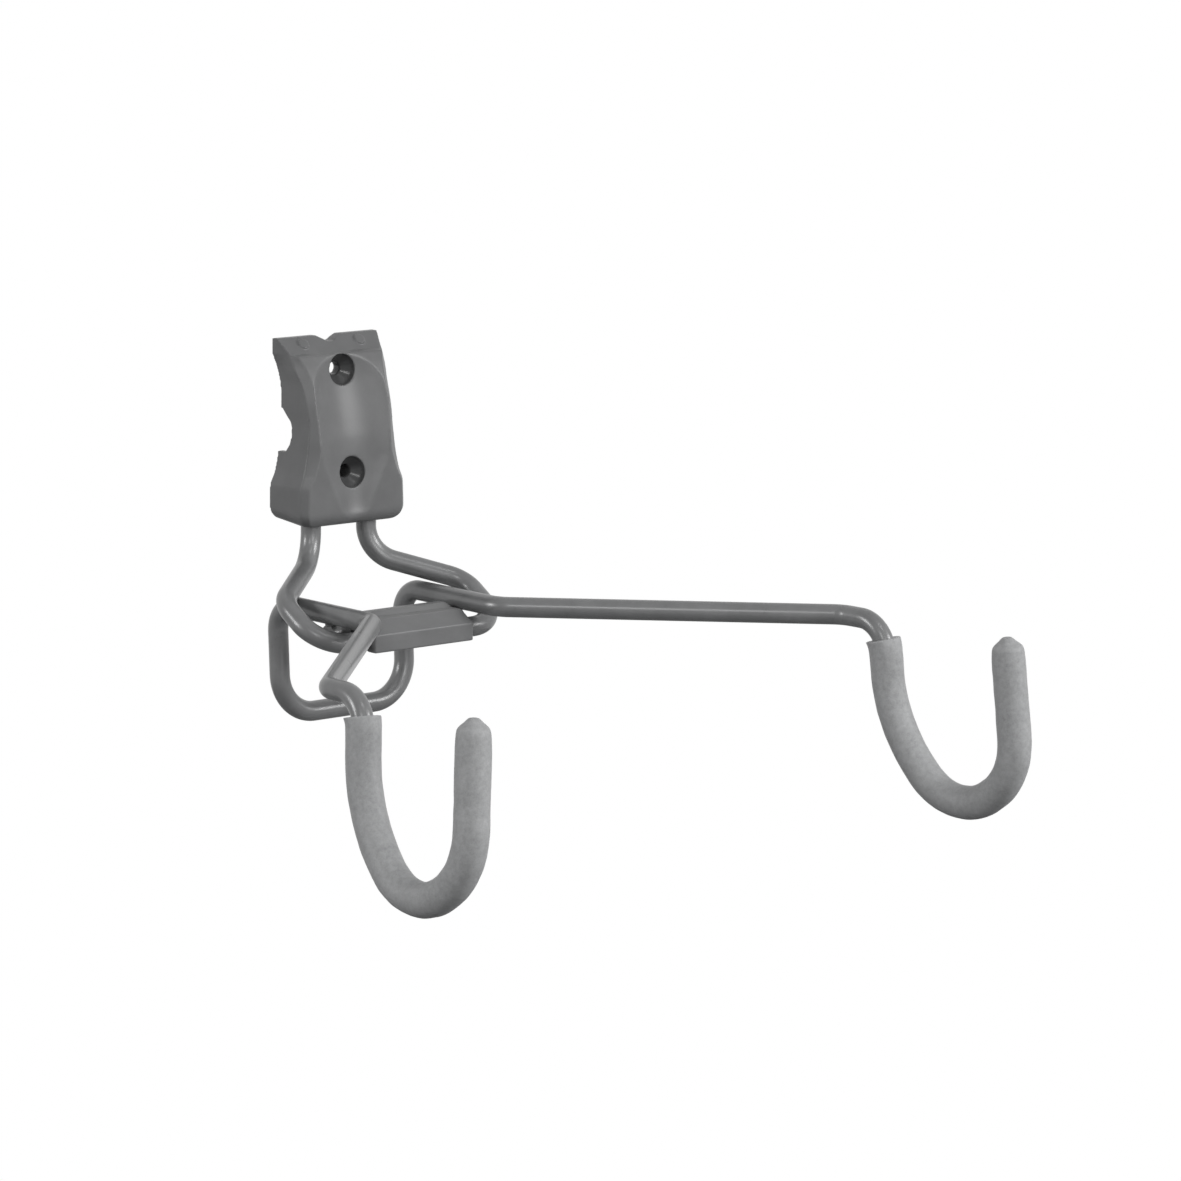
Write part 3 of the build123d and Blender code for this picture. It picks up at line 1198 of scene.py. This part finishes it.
@dataclass
class FoamGrip:
    """A foam sleeve on one hook, open at its neck and closed over its tip.

    Attributes:
        hand: The side that its hook is on.
        diameter: The sleeve's outer size, in millimetres as all sizes here.
        bore: The size of its hole.
        mouth_turn: How far round the neck's bend it begins, as a share of the bend.
        mouth_lead: How far ahead the stiff sleeve takes the slant of its mouth from.
        lead_reach: How far from the mouth that slant ends.
        flare: How much wider its mouth is than the rest.
        flare_reach: How soon the flare fades.
        lip: How much its edge is rounded.
        lip_reach: How soon that rounding fades.
        mouth_rings: Rings inside the mouth, as distance from it and height above the bore.
        ripple: The height of its slow unevenness.
        ripple_size: The size of one such swell.
        nose: The radius of its blunt end at distances from the very tip.
        track_step: The distance between samples of the hook's curve.
        first_ring: The first outer ring's distance from the mouth.
        fine_step: The distance between rings near the mouth.
        ring_step: The distance between the others, and where they begin.
        nose_zone: How far from the tip the rings grow closer again.
        nose_steps: The least and the greatest distance between them there.
        nose_share: That distance as a share of what is left to the tip.
        last_gap: What the last ring leaves to the tip.
        round_steps: How many points there are round it.
    """

    hand: Hand
    diameter: float = 13.0
    bore: float = 8.1
    mouth_turn: float = 0.73
    mouth_lead: float = 3.2
    lead_reach: float = 9.0
    flare: float = 0.45
    flare_reach: float = 2.2
    lip: float = 0.35
    lip_reach: float = 0.25
    mouth_rings: tuple[tuple[float, float], ...] = (
        (3.0, 0.0), (1.0, 0.0), (0.25, 0.0), (0.06, 0.08), (0.0, 0.3), (0.0, 0.9), (0.0, 1.5))
    ripple: float = 0.16
    ripple_size: float = 9.0
    nose: tuple[tuple[float, float], ...] = (
        (0.0, 0.0), (0.06, 1.0), (0.25, 1.75), (0.9, 2.6), (1.8, 3.5), (2.5, 4.4),
        (3.2, 5.2), (3.9, 5.75), (4.8, 6.1), (6.5, 6.3), (9.0, 6.43), (12.0, 6.5))
    track_step: float = 0.9
    first_ring: float = 0.05
    fine_step: float = 0.12
    ring_step: float = 0.9
    nose_zone: float = 8.0
    nose_steps: tuple[float, float] = (0.08, 0.6)
    nose_share: float = 0.16
    last_gap: float = 0.06
    round_steps: int = 72

    def build(self, carrier: Carrier, finish: bpy.types.Material) -> bpy.types.Object:
        """Model and dress the sleeve.

        Args:
            carrier: The carrier, whose hook it follows.
            finish: The foam.

        Returns:
            The piece.
        """
        corners = [place(self.hand.value * carrier.arm_half, carrier.arm_out, carrier.rail_up)]
        corners += carrier.hook_corners(self.hand)
        track = np.array(Route(corners, carrier.hook_radii(), self.track_step).samples())
        gaps = np.linalg.norm(np.diff(track, axis=0), axis=1)
        along = np.concatenate([[0], np.cumsum(gaps)]) / MM
        mouth = self._mouth(carrier, corners)
        rings = self._rings(along[-1] - mouth)
        vertices = self._skin(track, along, mouth, rings)
        steps = self.round_steps
        faces = tube_faces(len(rings), steps)
        start_pole = len(rings) * steps
        last = start_pole - steps
        for k in range(steps):
            faces.append((start_pole, (k + 1) % steps, k))
            faces.append((start_pole + 1, last + k, last + (k + 1) % steps))
        side = self.hand.name.lower()
        piece = mesh_object(f"foam_{side}", vertices, faces)
        outward(piece)
        return dress(piece, finish, Body.CARRIER, Slot.FOAM, f"{side}_grip")

    def radius_at(self, along: float, length: float) -> float:
        """The sleeve's radius at a distance from its mouth.

        Args:
            along: The distance.
            length: The sleeve's length.

        Returns:
            The radius in millimetres.
        """
        radius = self.diameter / 2
        radius += self.flare * math.exp(-along / self.flare_reach)
        radius -= self.lip * math.exp(-along / self.lip_reach)
        left = length - along
        if left < self.nose[-1][0]:
            radius = min(radius, smooth_curve(self.nose, left))
        return radius

    def _mouth(self, carrier: Carrier, corners: list[Vector]) -> float:
        """Find where the sleeve begins.

        Args:
            carrier: The carrier, for the neck's bend.
            corners: The route's corners, from the arm's corner on.

        Returns:
            Its distance along the route, in millimetres.
        """
        bend = carrier.neck[2]
        turn = math.pi - (corners[0] - corners[1]).angle(corners[2] - corners[1])
        reach = bend / math.tan((math.pi - turn) / 2)
        run = (corners[1] - corners[0]).length / MM
        return run - reach + self.mouth_turn * turn * bend

    def _rings(self, length: float) -> list[tuple[float, float]]:
        """Lay out the sleeve's rings, closer where its profile turns.

        Args:
            length: The sleeve's length in millimetres.

        Returns:
            Each ring's distance from the mouth and radius, from inside the bore to the tip.
        """
        rings = [(distance, self.bore / 2 + above) for distance, above in self.mouth_rings]
        rings.append((0.0, self.diameter / 2 - self.lip))
        least, greatest = self.nose_steps
        distance = self.first_ring
        while distance < length - self.nose_zone:
            rings.append((distance, self.radius_at(distance, length)))
            distance += self.fine_step if distance < self.ring_step else self.ring_step
        while distance < length - self.last_gap:
            rings.append((distance, self.radius_at(distance, length)))
            distance += max(least, min(greatest, self.nose_share * (length - distance)))
        return rings

    def _skin(
            self, track: np.ndarray, along: np.ndarray, mouth: float,
            rings: list[tuple[float, float]]) -> list[np.ndarray]:
        """Lay out the points of every ring, and a pole at each end.

        Args:
            track: Samples of the hook's curve.
            along: Their distances from its start, in millimetres.
            mouth: The mouth's distance from its start.
            rings: Each ring's distance from the mouth and radius.

        Returns:
            The points, ring by ring, and then the poles.
        """
        def centre(where: float) -> np.ndarray:
            """The curve's point at a distance from its start."""
            return np.array([np.interp(where, along, track[:, k]) for k in range(3)])

        vertices, frames = [], self._frames(track)
        for distance, radius in rings:
            middle = centre(mouth + distance)
            lead = self.mouth_lead * max(0.0, 1 - distance / self.lead_reach)
            facing = mouth + distance + lead
            near = min(len(frames) - 2, max(0, int(np.searchsorted(along, facing)) - 1))
            share = (facing - along[near]) / max(1e-9, along[near + 1] - along[near])
            across, beside = (
                frames[near][k] * (1 - share) + frames[near + 1][k] * share for k in range(2))
            for k in range(self.round_steps):
                angle = 2 * math.pi * k / self.round_steps
                way = across * math.cos(angle) + beside * math.sin(angle)
                point = middle + way * radius * MM
                if radius > self.bore / 2 + 0.2:
                    swell = noise.fractal(Vector(point) / (self.ripple_size * MM), 1.0, 2.0, 3)
                    lift = swell * self.ripple
                    point = point + way * lift * MM * min(1.0, radius / 5)
                vertices.append(point)
        return vertices + [centre(mouth + rings[0][0]), centre(along[-1])]

    @staticmethod
    def _frames(track: np.ndarray) -> list[tuple[np.ndarray, np.ndarray]]:
        """Carry two directions across the route along it without twist.

        Args:
            track: Samples of the route.

        Returns:
            The two directions at each sample.
        """
        tangents = np.gradient(track, axis=0)
        tangents /= np.linalg.norm(tangents, axis=1)[:, None]
        across = np.cross(tangents[0], (0.3, 0.2, 1.0))
        across /= np.linalg.norm(across)
        frames = []
        for tangent in tangents:
            across = across - tangent * across.dot(tangent)
            across /= np.linalg.norm(across)
            frames.append((across, np.cross(tangent, across)))
        return frames


@dataclass
class HingeClip:
    """The moulded clip that joins the loop's front bar and the pivot rod.

    Attributes:
        voxel: The size of its remesh in millimetres.
        rounds: How many smoothing rounds its edges get.
    """

    voxel: float = 0.36
    rounds: int = 8

    def build(self, finish: bpy.types.Material) -> bpy.types.Object:
        """Copy the clip's solid, soften its edges and dress it.

        Args:
            finish: The plastic.

        Returns:
            The piece.
        """
        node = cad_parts["hinge_clip"]
        piece = bpy.data.objects.new("snap_clip", node.data.copy())
        bpy.context.scene.collection.objects.link(piece)
        outward(piece)
        soften(piece, self.voxel, self.rounds)
        return dress(piece, finish, Body.WALL_MOUNT, Slot.CLIP, "hinge_clip")


@dataclass
class Station:
    """One level of the bracket's outer form, in millimetres.

    Attributes:
        up: The level.
        back_half: Half the width at the wall.
        edge_half: Half the width at the flank's front edge.
        edge_out: That edge's distance from the wall.
        crown_half: Half the width at the ridge behind the scoop.
        crown_out: That ridge's distance from the wall.
    """

    up: float
    back_half: float
    edge_half: float
    edge_out: float
    crown_half: float
    crown_out: float


@dataclass
class WallBracket:
    """The moulded bracket: a waisted hollow shell with a scooped front.

    Attributes:
        wall: The shell's thickness, in millimetres as all sizes here.
        top: The level of its top.
        foot: The level of its foot.
        foot_slope: How far the foot's front lies below its back.
        foot_depth: The depth that this slope is spread over.
        slope_top: The level where the slope begins.
        slope_span: The height over which it sets in.
        foot_round: The rounding along the foot's front.
        foot_corner: The rounding at its corners.
        blend: How wide the ridges beside the scoop are rounded.
        thinnest: The least depth of the front.
        front_steps: How many points half of the front has at each level.
        flank_steps: How many points the flank has.
        fold: The levels of the fold below the lip.
        foot_rings: How many close rings the foot's rounding has.
        foot_step: The distance to the second of them.
        foot_growth: The power by which their distances grow.
        foot_zone: Where the even rings begin above the lowest one.
        ring_step: The distance between those.
        top_gap: The least that they leave to the highest one.
        hollow_top: The top of the hollow.
        hollow_behind: How far the hollow reaches behind the wall plane.
        cut_back: Where cutters begin, out from the wall.
        cut_front: Where cutters through the front end.
        boss_front: Where the bosses end inside the front.
        screw_half: Half the distance between the screws.
        screw_hole: The size of a screw's hole.
        screw_head: The size of its head.
        recess: How far the head is sunk.
        land: The material behind a screw's cone.
        rims_out: The upper and the lower recess's front, out from the wall.
        boss: The size of a screw's boss.
        rib: The thickness of the rib between the bosses.
        leg_half: Half the distance between the two sockets.
        leg_out: The sockets' distance from the wall.
        leg_boss: The size of a socket's boss.
        leg_boss_ends: The levels between which that boss is built.
        socket: The size of a socket.
        socket_top: The level of its end.
        socket_bottom: The level from which it is cut.
        overlap: How far a cone reaches into its recess, so that the two join.
        notch: Half of the lip's notch, as side and level beside the top.
        notch_reach: How far it is cut out from its start.
        finger_side: Where the finger notch begins inside the flank.
        finger_reach: How far it is cut outwards.
        finger: Its outline, as out and up.
        pip_side: Half the distance between the lip's two pads.
        pip_shift: How far both are moved to the side.
        pip_out: Their distance from the wall.
        pip_up: Their level.
        pip_tip: How far they are tipped back, in degrees.
        pip_radius: A pad's radius.
        pip_height: Its height, half of it inside the lip.
        voxel: The size of its remesh.
        rounds: How many smoothing rounds its edges get.
        kept: The share of its triangles that is kept then.
    """

    wall: float = 2.8
    top: float = 33.0
    foot: float = -38.7
    foot_slope: float = 2.3
    foot_depth: float = 21.8
    slope_top: float = -25.0
    slope_span: float = 13.7
    foot_round: float = 5.0
    foot_corner: float = 5.5
    blend: float = 0.35
    thinnest: float = 0.3
    front_steps: int = 72
    flank_steps: int = 8
    fold: tuple[float, float, float] = (26.2, 26.5, 26.9)
    foot_rings: int = 9
    foot_step: float = 0.12
    foot_growth: float = 1.6
    foot_zone: float = 4.0
    ring_step: float = 0.8
    top_gap: float = 0.4
    hollow_top: float = 29.5
    hollow_behind: float = 3.0
    cut_back: float = -5.0
    cut_front: float = 40.0
    boss_front: float = 30.0
    screw_half: float = 20.0
    screw_hole: float = 5.2
    screw_head: float = 12.4
    recess: float = 1.0
    land: float = 3.9
    rims_out: tuple[float, float] = (12.0, 18.8)
    boss: float = 17.0
    rib: float = 2.6
    leg_half: float = 13.85
    leg_out: float = 10.7
    leg_boss: float = 12.0
    leg_boss_ends: tuple[float, float] = (-50.0, 9.0)
    socket: float = 8.1
    socket_top: float = 6.0
    socket_bottom: float = -60.0
    overlap: float = 0.01
    notch_reach: float = 20.0
    notch: tuple[tuple[float, float], ...] = (
        (6.6, 1.0), (5.7, -0.1), (2.9, -1.55), (2.1, -2.1), (1.2, -2.4), (0.0, -2.5))
    finger_side: float = 16.9
    finger_reach: float = 15.0
    finger: tuple[tuple[float, float], ...] = (
        (-4.0, 4.9), (0.8, 4.9), (3.2, 2.6), (6.1, 0.0), (7.1, -2.6), (7.3, -6.0),
        (6.4, -9.2), (4.4, -11.7), (-4.0, -11.8))
    pip_side: float = 14.0
    pip_shift: float = -0.3
    pip_out: float = 6.0
    pip_up: float = 30.4
    pip_tip: float = 45.0
    pip_radius: float = 2.4
    pip_height: float = 1.5
    voxel: float = 0.4
    rounds: int = 2
    kept: float = 0.58

    def stations(self) -> list[Station]:
        """List the levels that shape the form.

        Returns:
            The stations, from the top down.
        """
        return [
            Station(33.0, 25.0, 24.9, 3.2, 24.2, 3.3),
            Station(26.9, 24.9, 22.8, 8.8, 21.6, 9.2),
            Station(26.2, 24.6, 22.7, 9.3, 20.6, 12.0),
            Station(21.5, 22.7, 22.6, 11.2, 19.0, 14.5),
            Station(14.5, 20.9, 21.3, 14.6, 17.9, 17.6),
            Station(7.2, 20.4, 20.9, 17.1, 17.6, 20.0),
            Station(0.7, 20.5, 20.8, 18.4, 17.2, 21.1),
            Station(-9.7, 21.7, 21.7, 18.9, 17.4, 22.0),
            Station(-19.5, 23.6, 23.7, 19.0, 20.2, 22.1),
            Station(-25.5, 26.0, 25.6, 19.3, 23.0, 22.0),
            Station(-38.7, 26.1, 25.9, 19.6, 23.6, 21.9),
        ]

    def at(self, up: float) -> Station:
        """Read the form at any level, with smooth curves between the levels below the lip.

        Args:
            up: The level.

        Returns:
            The interpolated station.
        """
        rows = self.stations()
        if up >= rows[1].up:
            used = rows[:2]
        else:
            used = rows[1:3] if up > rows[2].up else rows[2:]
        sizes = [each.name for each in fields(Station) if each.name != "up"]
        return Station(up, **{
            size: smooth_curve([(row.up, getattr(row, size)) for row in reversed(used)], up)
            for size in sizes})

    def scoop(self, up: float) -> tuple[float, float]:
        """Read the scoop at a level.

        Args:
            up: The level.

        Returns:
            Its deepest line's distance from the wall, and its radius.
        """
        rows = [
            (-38.7, 23.0, 24), (-36, 22.0, 24), (-33, 20.9, 24), (-28.5, 20.0, 25),
            (-20.5, 18.9, 31), (-13, 18.6, 42), (-7, 18.0, 42), (0, 16.6, 39), (7, 14.9, 37),
            (12, 13.6, 35), (18, 12.4, 35), (24, 12.0, 37), (33, 12.0, 38)]
        deep, radius = (
            smooth_curve([(row[0], row[column]) for row in rows], up) for column in (1, 2))
        return deep, radius

    def section(self, up: float, inset: float) -> list[tuple[float, float]]:
        """Lay out half of a level's outline, from the middle of the front to the wall.

        Args:
            up: The level.
            inset: How far inside the outer form the outline runs.

        Returns:
            The outline's points, as side and out.
        """
        form = self.at(up)
        drop = rounding(self.foot + self.foot_round - up, self.foot_round)
        trim = rounding(self.foot + self.foot_corner - up, self.foot_corner) + inset
        edge = form.edge_half
        deep, radius = self.scoop(up)
        points = []
        for share in (k / self.front_steps for k in range(self.front_steps + 1)):
            side = edge * share
            if side <= form.crown_half:
                skin = form.crown_out
            else:
                over = (side - form.crown_half) / (edge - form.crown_half)
                skin = form.crown_out + (form.edge_out - form.crown_out) * over
            scoop = deep + radius - math.sqrt(max(0.0, radius ** 2 - side ** 2))
            skin = smooth_min(skin, scoop, self.blend)
            points.append((side * (edge - trim) / edge, max(self.thinnest, skin - drop - inset)))
        side, out = points[-1]
        back = form.back_half - trim
        for k in range(1, self.flank_steps + 1):
            share = k / self.flank_steps
            points.append((side + (back - side) * share, out * (1 - share)))
        return points

    def levels(self, low: float, high: float) -> list[float]:
        """List the levels of the skin's rings, closer at the foot's rounding and the fold.

        Args:
            low: The lowest level.
            high: The highest level.

        Returns:
            The levels, rising.
        """
        fine = [low + self.foot_step * k ** self.foot_growth for k in range(self.foot_rings)]
        count = math.ceil((high - low) / self.ring_step)
        plain = [low + self.foot_zone + self.ring_step * k for k in range(count)]
        plain = [z for z in plain if z < high - self.top_gap]
        return sorted({round(z, 4) for z in [*fine, *plain, *self.fold, high] if low <= z <= high})

    def form(
            self, name: str, low: float, high: float, inset: float,
            behind: float) -> bpy.types.Object:
        """Make the closed outer form, or the hollow inside it.

        Args:
            name: The object's name.
            low: The lowest level.
            high: The highest level.
            inset: How far inside the outer form it runs.
            behind: How far behind the wall plane its back lies.

        Returns:
            The object.
        """
        rings = []
        for up in self.levels(low, high):
            half = self.section(up, inset)
            half[-1] = (half[-1][0], -behind)
            whole = [(-s, o) for s, o in reversed(half)] + half[1:]
            set_in = min(1.0, max(0.0, (self.slope_top - up) / self.slope_span))
            sag = set_in * self.foot_slope / self.foot_depth
            rings.append([place(s, o, up - sag * max(o, 0)) for s, o in whole])
        piece = mesh_object(
            name, [p for ring in rings for p in ring], closed_faces(len(rings), len(rings[0])))
        outward(piece)
        return piece

    def build(self, finish: bpy.types.Material) -> bpy.types.Object:
        """Model the shell, cut its holes and notches, soften and dress it.

        Args:
            finish: The plastic.

        Returns:
            The piece.
        """
        piece = self.form("bracket_shell", self.foot, self.top, 0.0, 0.0)
        carve(piece, self._hollow())
        for hand in Hand:
            self._leg_tool(piece, hand, self.socket, self.socket_bottom, self.socket_top)
        self._cut_screw_holes(piece)
        self._cut_notches(piece)
        self._add_pips(piece, finish)
        soften(piece, self.voxel, self.rounds)
        thin_out(piece, self.kept)
        return dress(piece, finish, Body.WALL_MOUNT, Slot.BRACKET, "wall_bracket")

    def _leg_tool(
            self, target: bpy.types.Object, hand: Hand, size: float, low: float,
            high: float) -> None:
        """Cut a cylinder round one leg's line out of a target.

        Args:
            target: What is cut.
            hand: Which leg.
            size: The cylinder's diameter.
            low: The level of its lower end.
            high: The level of its upper end.
        """
        side = hand.value * self.leg_half
        carve(target, turned("leg_tool", place(side, self.leg_out, low),
                             place(side, self.leg_out, high), (size / 2, size / 2)))

    def _hollow(self) -> bpy.types.Object:
        """Model the space inside the shell, less the bosses and the rib.

        Returns:
            The closed shape.
        """
        hollow = self.form(
            "hollow", self.foot + self.wall, self.hollow_top, self.wall, self.hollow_behind)
        cone = (self.screw_head - self.screw_hole) / 2
        land_back = self.rims_out[0] - self.recess - self.land - cone
        for hand in Hand:
            self._leg_tool(hollow, hand, self.leg_boss, *self.leg_boss_ends)
        radii = (self.boss / 2, self.boss / 2)
        for back, up in ((land_back, self.screw_half), (self.cut_back, -self.screw_half)):
            carve(hollow, turned(
                "screw_boss", place(0, back, up), place(0, self.boss_front, up), radii))
        rib = [place(s, self.cut_back, u) for s, u in ((-1, -1), (1, -1), (1, 1), (-1, 1))]
        rib = [Vector((p.x * self.rib / 2, p.y, p.z * self.screw_half)) for p in rib]
        carve(hollow, prism("rib", rib, place(0, self.boss_front - self.cut_back, 0)))
        return hollow

    def _cut_screw_holes(self, piece: bpy.types.Object) -> None:
        """Cut the two screw holes with their recesses and cones.

        Args:
            piece: The shell.
        """
        head, hole = self.screw_head / 2, self.screw_hole / 2
        for up, rim in zip((self.screw_half, -self.screw_half), self.rims_out):
            seat = rim - self.recess
            for name, start, end, radii in (
                    ("recess", seat, self.cut_front, (head, head)),
                    ("cone", seat + self.overlap, seat - head + hole, (head, hole)),
                    ("hole", self.cut_back, self.cut_front, (hole, hole))):
                carve(piece, turned(name, place(0, start, up), place(0, end, up), radii))

    def _cut_notches(self, piece: bpy.types.Object) -> None:
        """Cut the rounded notch in the lip and the finger notch at the back of each side.

        Args:
            piece: The shell.
        """
        whole = [(-s, u) for s, u in self.notch] + [(s, u) for s, u in self.notch[-2::-1]]
        outline = [place(s, self.cut_back, self.top + u) for s, u in whole]
        carve(piece, prism("notch", outline, place(0, self.notch_reach, 0)))
        for hand in Hand:
            outline = [place(hand.value * self.finger_side, o, u) for o, u in self.finger]
            carve(piece, prism("finger", outline, place(hand.value * self.finger_reach, 0, 0)))

    def _add_pips(self, piece: bpy.types.Object, finish: bpy.types.Material) -> None:
        """Add the two low pads on the sloping lip.

        Args:
            piece: The shell.
            finish: The plastic.
        """
        spots = [place(hand.value * self.pip_side + self.pip_shift, self.pip_out, self.pip_up)
                 for hand in Hand]
        pads = grown(mesh_object("pip_spots", spots, []), pip_tree(), {
            "Pad Radius": self.pip_radius * MM, "Pad Height": self.pip_height * MM,
            "Tip Back": [math.radians(self.pip_tip), 0.0, 0.0], "Finish": finish}, "pips")
        carve(piece, pads, Carving.ADD)


# The studio


@dataclass
class CameraRig:
    """The camera at the photograph's place.

    Attributes:
        position: Its place in metres.
        azimuth: Its direction round the object in degrees.
        elevation: How far it looks down, in degrees.
        roll: Its tilt in degrees.
        lens: Its focal length in millimetres.
        sensor: Its picture's width in millimetres.
        clip: The nearest and the farthest that it sees, in metres.
    """

    position: tuple[float, float, float] = (-1.28249, -1.63991, 0.28227)
    azimuth: float = -40.970
    elevation: float = 9.581
    roll: float = 0.617
    lens: float = 161.609
    sensor: float = 36.0
    clip: tuple[float, float] = (0.05, 50.0)

    def build(self) -> bpy.types.Object:
        """Set up the scene's camera.

        Returns:
            The camera.
        """
        a, e, r = (math.radians(v) for v in (self.azimuth, self.elevation, self.roll))
        right = Vector((math.cos(a), math.sin(a), 0))
        ahead = Vector((-math.sin(a) * math.cos(e), math.cos(a) * math.cos(e), -math.sin(e)))
        upward = right.cross(ahead)
        across = right * math.cos(r) + upward * math.sin(r)
        above = upward * math.cos(r) - right * math.sin(r)
        data = bpy.data.cameras.new("camera")
        data.sensor_width = self.sensor
        data.lens = self.lens
        data.clip_start, data.clip_end = self.clip
        camera = bpy.data.objects.new("camera", data)
        turn = Matrix((across, above, -ahead)).transposed().to_4x4()
        camera.matrix_world = Matrix.Translation(self.position) @ turn
        bpy.context.scene.collection.objects.link(camera)
        bpy.context.scene.camera = camera
        return camera


@dataclass
class SoftBox:
    """One soft square lamp aimed at the object.

    Attributes:
        name: The lamp's name.
        azimuth: Its direction round the object in degrees.
        elevation: Its height in degrees.
        size: Its side in metres.
        level: The light that it gives a white surface that faces it.
        distance: Its distance in metres.
    """

    name: str
    azimuth: float
    elevation: float
    size: float
    level: float
    distance: float = 2.4

    def build(self, aim: Vector) -> bpy.types.Object:
        """Hang the lamp and aim it.

        Args:
            aim: The point that it faces.

        Returns:
            The lamp.
        """
        a, e = math.radians(self.azimuth), math.radians(self.elevation)
        way = Vector((math.sin(a) * math.cos(e), -math.cos(a) * math.cos(e), math.sin(e)))
        data = bpy.data.lights.new(self.name, "AREA")
        data.shape = "SQUARE"
        data.size = self.size
        data.energy = self.level * math.pi ** 2 * self.distance ** 2
        lamp = bpy.data.objects.new(self.name, data)
        lamp.location = aim + way * self.distance
        lamp.rotation_mode = "QUATERNION"
        lamp.rotation_quaternion = (-way).to_track_quat("-Z", "Y")
        bpy.context.scene.collection.objects.link(lamp)
        return lamp


@dataclass
class Studio:
    """White surroundings, soft lamps and a pale floor below the object.

    Attributes:
        ambient: The surroundings' light on the object.
        aim: The point that the lamps face, in metres.
        floor_up: The floor's level.
        floor_radius: Its radius.
        floor_steps: How many corners its rim has.
    """

    ambient: float = 0.05
    aim: tuple[float, float, float] = (0.0, -0.13, -0.06)
    floor_up: float = -1.1
    floor_radius: float = 2.2
    floor_steps: int = 96

    def lamps(self) -> list[SoftBox]:
        """List the lamps round the object.

        Returns:
            The lamps.
        """
        return [
            SoftBox("key_lamp", 36, 21, 0.9, 0.64),
            SoftBox("front_lamp", -10, 13, 1.0, 0.29),
            SoftBox("side_lamp", -112, 18, 0.7, 0.4),
            SoftBox("high_lamp", 0, 58, 0.45, 0.09),
            SoftBox("camera_lamp", -49, 27, 0.42, 0.13),
        ]

    def build(self) -> None:
        """Set up the surroundings, lamps and floor."""
        scene = bpy.context.scene
        scene.view_settings.view_transform = "Standard"
        scene.world = self._surroundings()
        for lamp in self.lamps():
            lamp.build(Vector(self.aim))
        turns = [2 * math.pi * k / self.floor_steps for k in range(self.floor_steps)]
        rim = [(self.floor_radius * math.cos(t), self.floor_radius * math.sin(t), self.floor_up)
               for t in turns]
        floor = mesh_object("floor", rim, [tuple(range(self.floor_steps))])
        floor.data.materials.append(PaleFloor("floor_paint").build())

    def _surroundings(self) -> bpy.types.World:
        """White where the camera or a reflection looks, and soft grey light elsewhere.

        Returns:
            The world.
        """
        world = bpy.data.worlds.new("surroundings")
        world.use_nodes = True
        sheet = Sheet(world.node_tree)
        seen = looked_at(sheet.node("ShaderNodeLightPath"))
        white, soft = (
            sheet.node("ShaderNodeBackground", None, {"Color": WHITE, "Strength": strength})
            for strength in (1.0, self.ambient))
        shown = sheet.node("ShaderNodeMath", {"operation": "MINIMUM"}, {0: seen, 1: 1.0})
        mixed = sheet.node("ShaderNodeMixShader", None, {0: shown, 1: soft, 2: white})
        sheet.node("ShaderNodeOutputWorld", None, {"Surface": mixed})
        return world


def main() -> None:
    """Build the camera, the studio and every piece in order."""
    logging.basicConfig(level=logging.INFO, format="%(name)s: %(message)s")
    CameraRig().build()
    Studio().build()
    paint = PaintedWire("wire_paint").build()
    foam = GripFoam("foam_skin").build()
    stock = WireStock()
    carrier = Carrier()
    bracket = WallBracket()
    shell = MouldedPlastic("bracket_plastic", seats=bracket.screw_half).build()
    clip = MouldedPlastic("clip_plastic_skin", level=0.165).build()
    pieces = [
        bracket.build(shell),
        WallLoop().build(stock, paint),
        *carrier.build(stock, paint),
        HingeClip().build(clip),
        *(FoamGrip(hand).build(carrier, foam) for hand in Hand),
    ]
    for piece in pieces:
        LOG.info("%s: %d faces", piece.name, len(piece.data.polygons))


if __name__ == "__main__":
    main()
